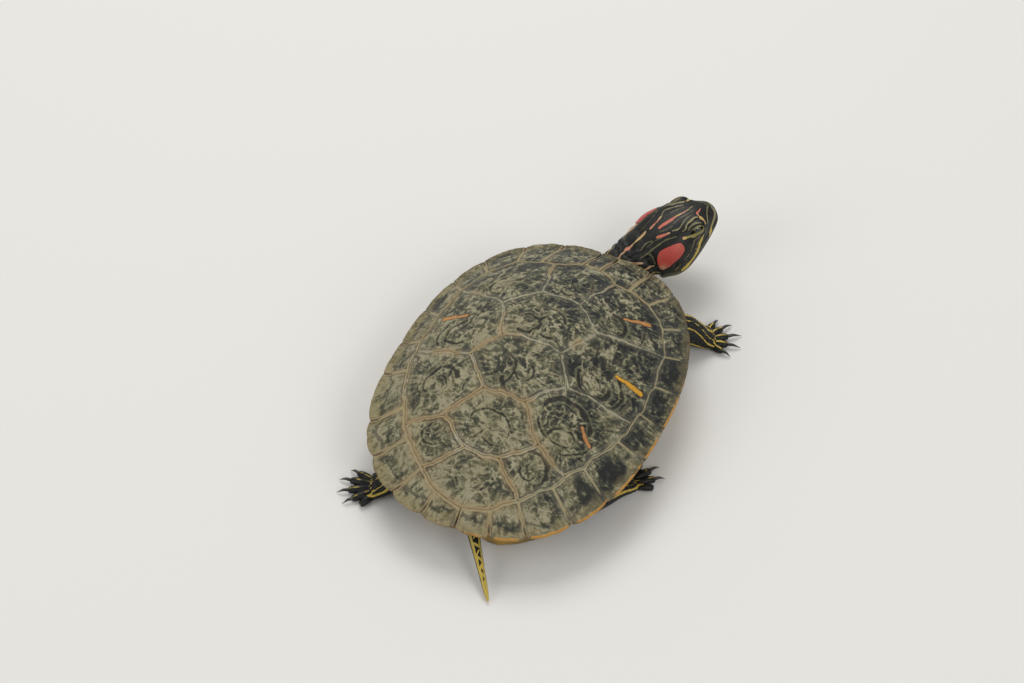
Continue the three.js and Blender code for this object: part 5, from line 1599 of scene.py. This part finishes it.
# One plate as rings of a low dome over a flat underside: share of its width, of its length, and height.
def plateTemplate(around=8):
    look = scaleLook
    angle = 2 * np.pi * np.arange(around) / around
    rings = [(0.12, look["dome"]), (0.72, look["dome"] * 0.66), (1.0, -0.02), (0.94, -look["sunk"]),
             (0.1, -look["sunk"])]
    shares = np.array([share for share, _ in rings])[:, None]
    heights = np.array([height for _, height in rings])[:, None] + 0 * angle
    return np.stack([shares * bent(np.cos(angle), 0.8), shares * bent(np.sin(angle), 0.8), heights],
                    -1).reshape(-1, 3)


# Places every plate of a leg: its root, the directions across, along and out of the limb, and its size.
def platePlaces(leg):
    look = scaleLook
    rows = look["rows"][leg[:4]]
    row, column = np.meshgrid(np.arange(rows), np.arange(look["columns"]), indexing="ij")
    row, column = row.ravel(), column.ravel()
    seeded = np.random.default_rng(len(leg))
    uneven = seeded.uniform(-1, 1, (3, len(row))) * look["spread"]
    share = look["start"] + (look["end"] - look["start"]) * (row + 0.5 + uneven[0]) / rows
    angle = 2 * np.pi * (column + 0.5 * (row % 2) + uneven[1]) / look["columns"]
    stations = legStations[leg]
    root = limbPoints(stations, share, angle, -flesh["inside"])
    across = limbPoints(stations, share, angle + 0.05, -flesh["inside"]) - limbPoints(stations, share,
        angle - 0.05, -flesh["inside"])
    lengthwise = limbPoints(stations, share + 0.004, angle, -flesh["inside"]) - limbPoints(stations,
        share - 0.004, angle, -flesh["inside"])
    outward = unit(np.cross(lengthwise, across))
    middle = readStations(np.array(stations, float), share)[:, :3]
    outward = outward * np.sign(((root - middle) * outward).sum(-1, keepdims=True))
    wide = np.linalg.norm(across, axis=-1) * (2 * np.pi / look["columns"] / 0.1) * look["wide"]
    length = np.linalg.norm(lengthwise, axis=-1) * ((look["end"] - look["start"]) / rows
        / 0.008) * look["long"]
    size = np.stack([np.minimum(wide, 2.2), np.minimum(length, 1.6)], -1) * (1 + uneven[2])[:, None]
    lengthwise = unit(lengthwise)
    return root, unit(np.cross(lengthwise, outward)), lengthwise, outward, size, share, angle


# Small lapping plates on the legs: one template turned and sized for each place.
def makeLimbScales():
    look = scaleLook
    plate = plateTemplate()
    allPoints, allPlaces = [], []
    for number, leg in enumerate(legStations):
        root, across, lengthwise, outward, size, share, angle = platePlaces(leg)
        lift = plate[:, 2] + look["lap"] * plate[:, 1] * (plate[:, 2] > -0.1)
        points = (root[:, None] + across[:, None] * (plate[None, :, :1] * size[:, None, :1])
                  + lengthwise[:, None] * (plate[None, :, 1:2] * size[:, None, 1:]) + outward[:, None]
                  * lift[None, :, None])
        points[..., 2] = np.maximum(points[..., 2], 0.35)
        places = np.stack([(number + 0.1 + 0.8 * np.mod(angle / (2 * np.pi), 1)) / 4, 0.05 + 0.9 * share], -1)
        allPoints.append(points)
        allPlaces.append(places[:, None] + plate[None, :, :2] * 0.0015)
    points = np.concatenate(allPoints)
    count = len(points)
    base = np.arange(count)[:, None, None] * 40
    ring, side = np.meshgrid(np.arange(4), np.arange(8), indexing="ij")
    after = (side + 1) % 8
    quads = np.stack([ring * 8 + side, ring * 8 + 8 + side, ring * 8 + 8 + after, ring * 8 + after],
                     -1).reshape(-1, 4)
    quads = (quads[None] + base).reshape(-1, 4)
    caps = np.stack([np.arange(8), 32 + np.arange(8)[::-1]])
    caps = (caps[None] + base).reshape(-1, 8)
    piece = makeMesh("limbScales", points.reshape(-1, 3), [quads, caps])
    corners = np.empty(len(piece.data.loops), np.int32)
    piece.data.loops.foreach_get("vertex_index", corners)
    layer = piece.data.uv_layers.new(name="OFBake")
    layer.data.foreach_set("uv", np.concatenate(allPlaces).reshape(-1, 2)[corners].ravel())
    return piece


limbScales = makeLimbScales()
coatFields(limbScales)
settle(limbScales, skin.data.materials[0], "skin", *legNodes)
print("limb scales laid")


# The eyes: a ball with a clear bulge over an olive iris, a round pupil and a dark bar across it

eyeLook = {
    "iris": 47.0, "pupil": 16.0, "bulge": 0.28, "rows": 90, "around": 96, "barHalf": 0.85,
    "white": "1b1a14", "irisColour": "5d5f2c", "irisRim": "22230f", "ray": "868341", "black": "040404",
}


# Rings from the back of the ball to the middle of the bulge; the bulge swells over the iris.
def makeEye(side):
    look = eyeLook
    outward, lengthwise, crosswise = eyeAxes(side)
    fromMiddle = np.linspace(178, 0.6, look["rows"])
    around = 2 * np.pi * np.arange(look["around"]) / look["around"]
    turn = np.radians(fromMiddle)[:, None]
    radius = head["eyeRadius"] + look["bulge"] * (1 - smoothStep(fromMiddle, 8, look["iris"] + 6))[:,
        None] - 0.02
    disc = lengthwise * np.cos(around)[:, None] + crosswise * np.sin(around)[:, None]
    rings = outward * np.cos(turn)[..., None] + disc * np.sin(turn)[..., None]
    piece = makeTube("eyeLeft" if side == 1 else "eyeRight", eyeCentre(side) + rings * radius[..., None])
    angle = np.repeat(fromMiddle, look["around"])
    setField(piece, "fromMiddle", np.concatenate([angle, [180, 0]]))
    sideways = np.sin(turn) * np.sin(around) * head["eyeRadius"]
    setField(piece, "offLine", np.concatenate([sideways.ravel(), [0, 0]]))
    fibres = layeredNoise(np.stack([np.cos(around) * 7, np.sin(around) * 7, 0 * around], -1), 0.5, 2, 4)
    setField(piece, "ray", np.concatenate([np.tile(fibres, look["rows"]), [0.5, 0.5]]))
    return piece


# Wet eye: a rayed iris that turns to its rim's colour, white outside it, and a dark bar.
def eyeMaterial(look):
    material, tree, shader = newMaterial("wetEye")
    angle = readField(tree, "fromMiddle")
    specks = noiseOf(tree, placeIn(tree), 2600.0, 2.0)
    rays = blend(tree, step(tree, readField(tree, "ray"), 0.35, 0.7), colour(look["irisColour"]),
                 colour(look["ray"]))
    rim = step(tree, angle, look["iris"] - 16, look["iris"] - 2)
    base = blend(tree, rim, rays, colour(look["irisRim"]))
    base = blend(tree, step(tree, angle, look["iris"] - 3, look["iris"] + 1), base, colour(look["white"]))
    off = calc(tree, "ABSOLUTE", readField(tree, "offLine"))
    off = timesPlus(tree, specks, 0.5, lessBy(tree, off, 0.25))
    base = blend(tree, times(tree, step(tree, off, look["barHalf"] + 0.14, look["barHalf"] - 0.14), 0.92),
                 base, colour(look["black"]))
    ring = calc(tree, "ABSOLUTE", lessBy(tree, angle, look["pupil"] + 3))
    base = blend(tree, times(tree, step(tree, ring, 2.6, 1.0), 0.35), base, colour(look["ray"]))
    base = blend(tree, step(tree, angle, look["pupil"] + 0.8, look["pupil"] - 0.8), base,
                 colour(look["black"]))
    feed(tree, shader.inputs["Base Color"], base)
    shader.inputs["Roughness"].default_value = 0.3
    shader.inputs["Coat Weight"].default_value = 1.0
    shader.inputs["Coat Roughness"].default_value = 0.03
    return material


wetEye = eyeMaterial(eyeLook)
settle(makeEye(1), wetEye, "eye", "eye_left")
settle(makeEye(-1), wetEye, "eye", "eye_right")
print("eyes made")


# The claws: curved horn, seated in the end of each toe and drawn out to a point

clawLook = {"horn": "2b2722", "tip": "8d8468", "root": "1b1916", "arch": 0.55, "rows": 26, "around": 18}


# One claw: its half width falls with the share to the power 1.7, and it arches as half a sine.
def clawRings(leg, toe):
    _, direction, tip, _ = toeLine(leg, toe)
    length = toe[3]
    share = np.linspace(0, 1, clawLook["rows"]) ** 0.9
    along = -1.9 + (length + 1.85) * share
    height = np.interp(along, [-2, 0, length * 0.35, length], [2.15, 2.2, 2.15, 0.62])
    height = height + clawLook["arch"] * np.sin(np.pi * share) * 0.6
    half = 1.02 * (1 - share ** 1.7) + 0.12
    around = 2 * np.pi * np.arange(clawLook["around"]) / clawLook["around"]
    side = np.cross(direction, upward)
    centre = tip + direction * along[:, None]
    centre[:, 2] = height
    wide = side * np.cos(around)[:, None] * 0.86
    tall = upward * (bent(np.sin(around), 0.9) * np.where(np.sin(around) > 0, 1, 0.75))[:, None]
    return centre[:, None] + (wide + tall) * half[:, None, None]


# Many closed tubes of the same size in one mesh.
def makeTubes(name, allRings):
    points, faces, start = [], [], 0
    for rings in allRings:
        own = tubePoints(rings)
        count = rings.shape[0] * rings.shape[1]
        points.append(own)
        faces += [part + start for part in tubeFaces(own, rings.shape[0], rings.shape[1], count, count + 1)]
        start += len(own)
    return makeMesh(name, np.concatenate(points), faces)


# A leg's claws as one piece, with each point's share of the way to the tip.
def makeClaws(leg):
    toes = [toe for toe in toeTable[leg[:4]] if toe[3]]
    piece = makeTubes(leg + "Claws", [clawRings(leg, toe) for toe in toes])
    share = np.repeat(np.linspace(0, 1, clawLook["rows"]) ** 0.9, clawLook["around"])
    setField(piece, "share", np.tile(np.concatenate([share, [0, 1]]), len(toes)))
    return piece, len(toes)


# Claw horn: from the root's colour to the horn's and then the tip's, in smooth steps.
def clawMaterial(look):
    material, tree, shader = newMaterial("clawHorn")
    share = readField(tree, "share")
    film = useGroup(tree, silt, Place=placeIn(tree), Size=1.2, Line=0.05, Cover=0.5)
    base = blend(tree, step(tree, share, 0.2, 0.6), colour(look["root"]), colour(look["horn"]))
    base = blend(tree, times(tree, step(tree, share, 0.6, 1.0), 0.8), base, colour(look["tip"]))
    feed(tree, shader.inputs["Base Color"], base)
    shader.inputs["Roughness"].default_value = 0.35
    shader.inputs["Coat Weight"].default_value = 0.3
    feed(tree, shader.inputs["Normal"], bumpOf(tree, film["Specks"], 0.08, 0.5))
    return material


clawHorn = clawMaterial(clawLook)
for leg in legStations:
    claws, count = makeClaws(leg)
    node = ("fore" if leg[:4] == "fore" else "hind") + ("_left" if leg.endswith("Left") else "_right")
    settle(claws, clawHorn, "claw", *[f"{node}_claw_{n + 1}" for n in range(count)])
print("claws made")


# The stage: a pale floor, soft lamps and the camera

stage = {
    "view": (204.27, 47.6), "distance": 3.03, "lens": 196.5, "aimRight": -0.0115, "aimUp": 0.0258,
    "aimHeight": 0.029,
    "floor": "e6e4df", "sky": 0.42,
    "lamps": [((0.5, -0.9, 1.5), 1.1, 15), ((-1.3, 0.6, 1.2), 1.0, 9), ((0.9, 1.2, 0.9), 0.9, 6)],
}


# A pale floor, an even sky and soft lamps that face the middle.
def makeStage():
    size = 6 / mm
    corners = np.array([[-1, -1, 0], [1, -1, 0], [1, 1, 0], [-1, 1, 0]]) * size
    floor = makeMesh("floor", corners, [np.array([[0, 1, 2, 3]])])
    material, _, paper = newMaterial("palePaper")
    paper.inputs["Base Color"].default_value = colour(stage["floor"])
    paper.inputs["Roughness"].default_value = 0.9
    paper.inputs["Specular IOR Level"].default_value = 0.1
    floor.data.materials.append(material)
    world = bpy.data.worlds.new("softSky")
    world.use_nodes = True
    world.node_tree.nodes["Background"].inputs["Color"].default_value = (1, 1, 1, 1)
    world.node_tree.nodes["Background"].inputs["Strength"].default_value = stage["sky"]
    scene.world = world
    for number, (place, size, power) in enumerate(stage["lamps"], 1):
        light = bpy.data.lights.new(f"softLamp{number}", "AREA")
        light.size = size
        light.energy = power
        lamp = bpy.data.objects.new(light.name, light)
        lamp.location = place
        toward = -np.array(place)
        lamp.rotation_euler = (math.acos(-toward[2] / np.linalg.norm(toward)), 0,
                               math.atan2(-toward[0], toward[1]))
        scene.collection.objects.link(lamp)


# The camera looks along its azimuth and down by its elevation, aimed a little off the shell's middle.
def makeCamera():
    azimuth, elevation = (math.radians(angle) for angle in stage["view"])
    ahead = np.array([-math.sin(azimuth) * math.cos(elevation), math.cos(azimuth) * math.cos(elevation),
                      -math.sin(elevation)])
    right = np.array([math.cos(azimuth), math.sin(azimuth), 0])
    up = np.cross(right, ahead)
    aim = np.array([0, 0, stage["aimHeight"]]) + right * stage["aimRight"] + up * stage["aimUp"]
    lens = bpy.data.cameras.new("camera")
    lens.lens = stage["lens"]
    lens.sensor_width = 36
    lens.clip_end = 100
    camera = bpy.data.objects.new("camera", lens)
    camera.location = aim - ahead * stage["distance"]
    camera.rotation_euler = (math.pi / 2 - elevation, 0, azimuth)
    scene.collection.objects.link(camera)
    scene.camera = camera


makeStage()
makeCamera()
scene.view_settings.view_transform = "Standard"
print("stage set")
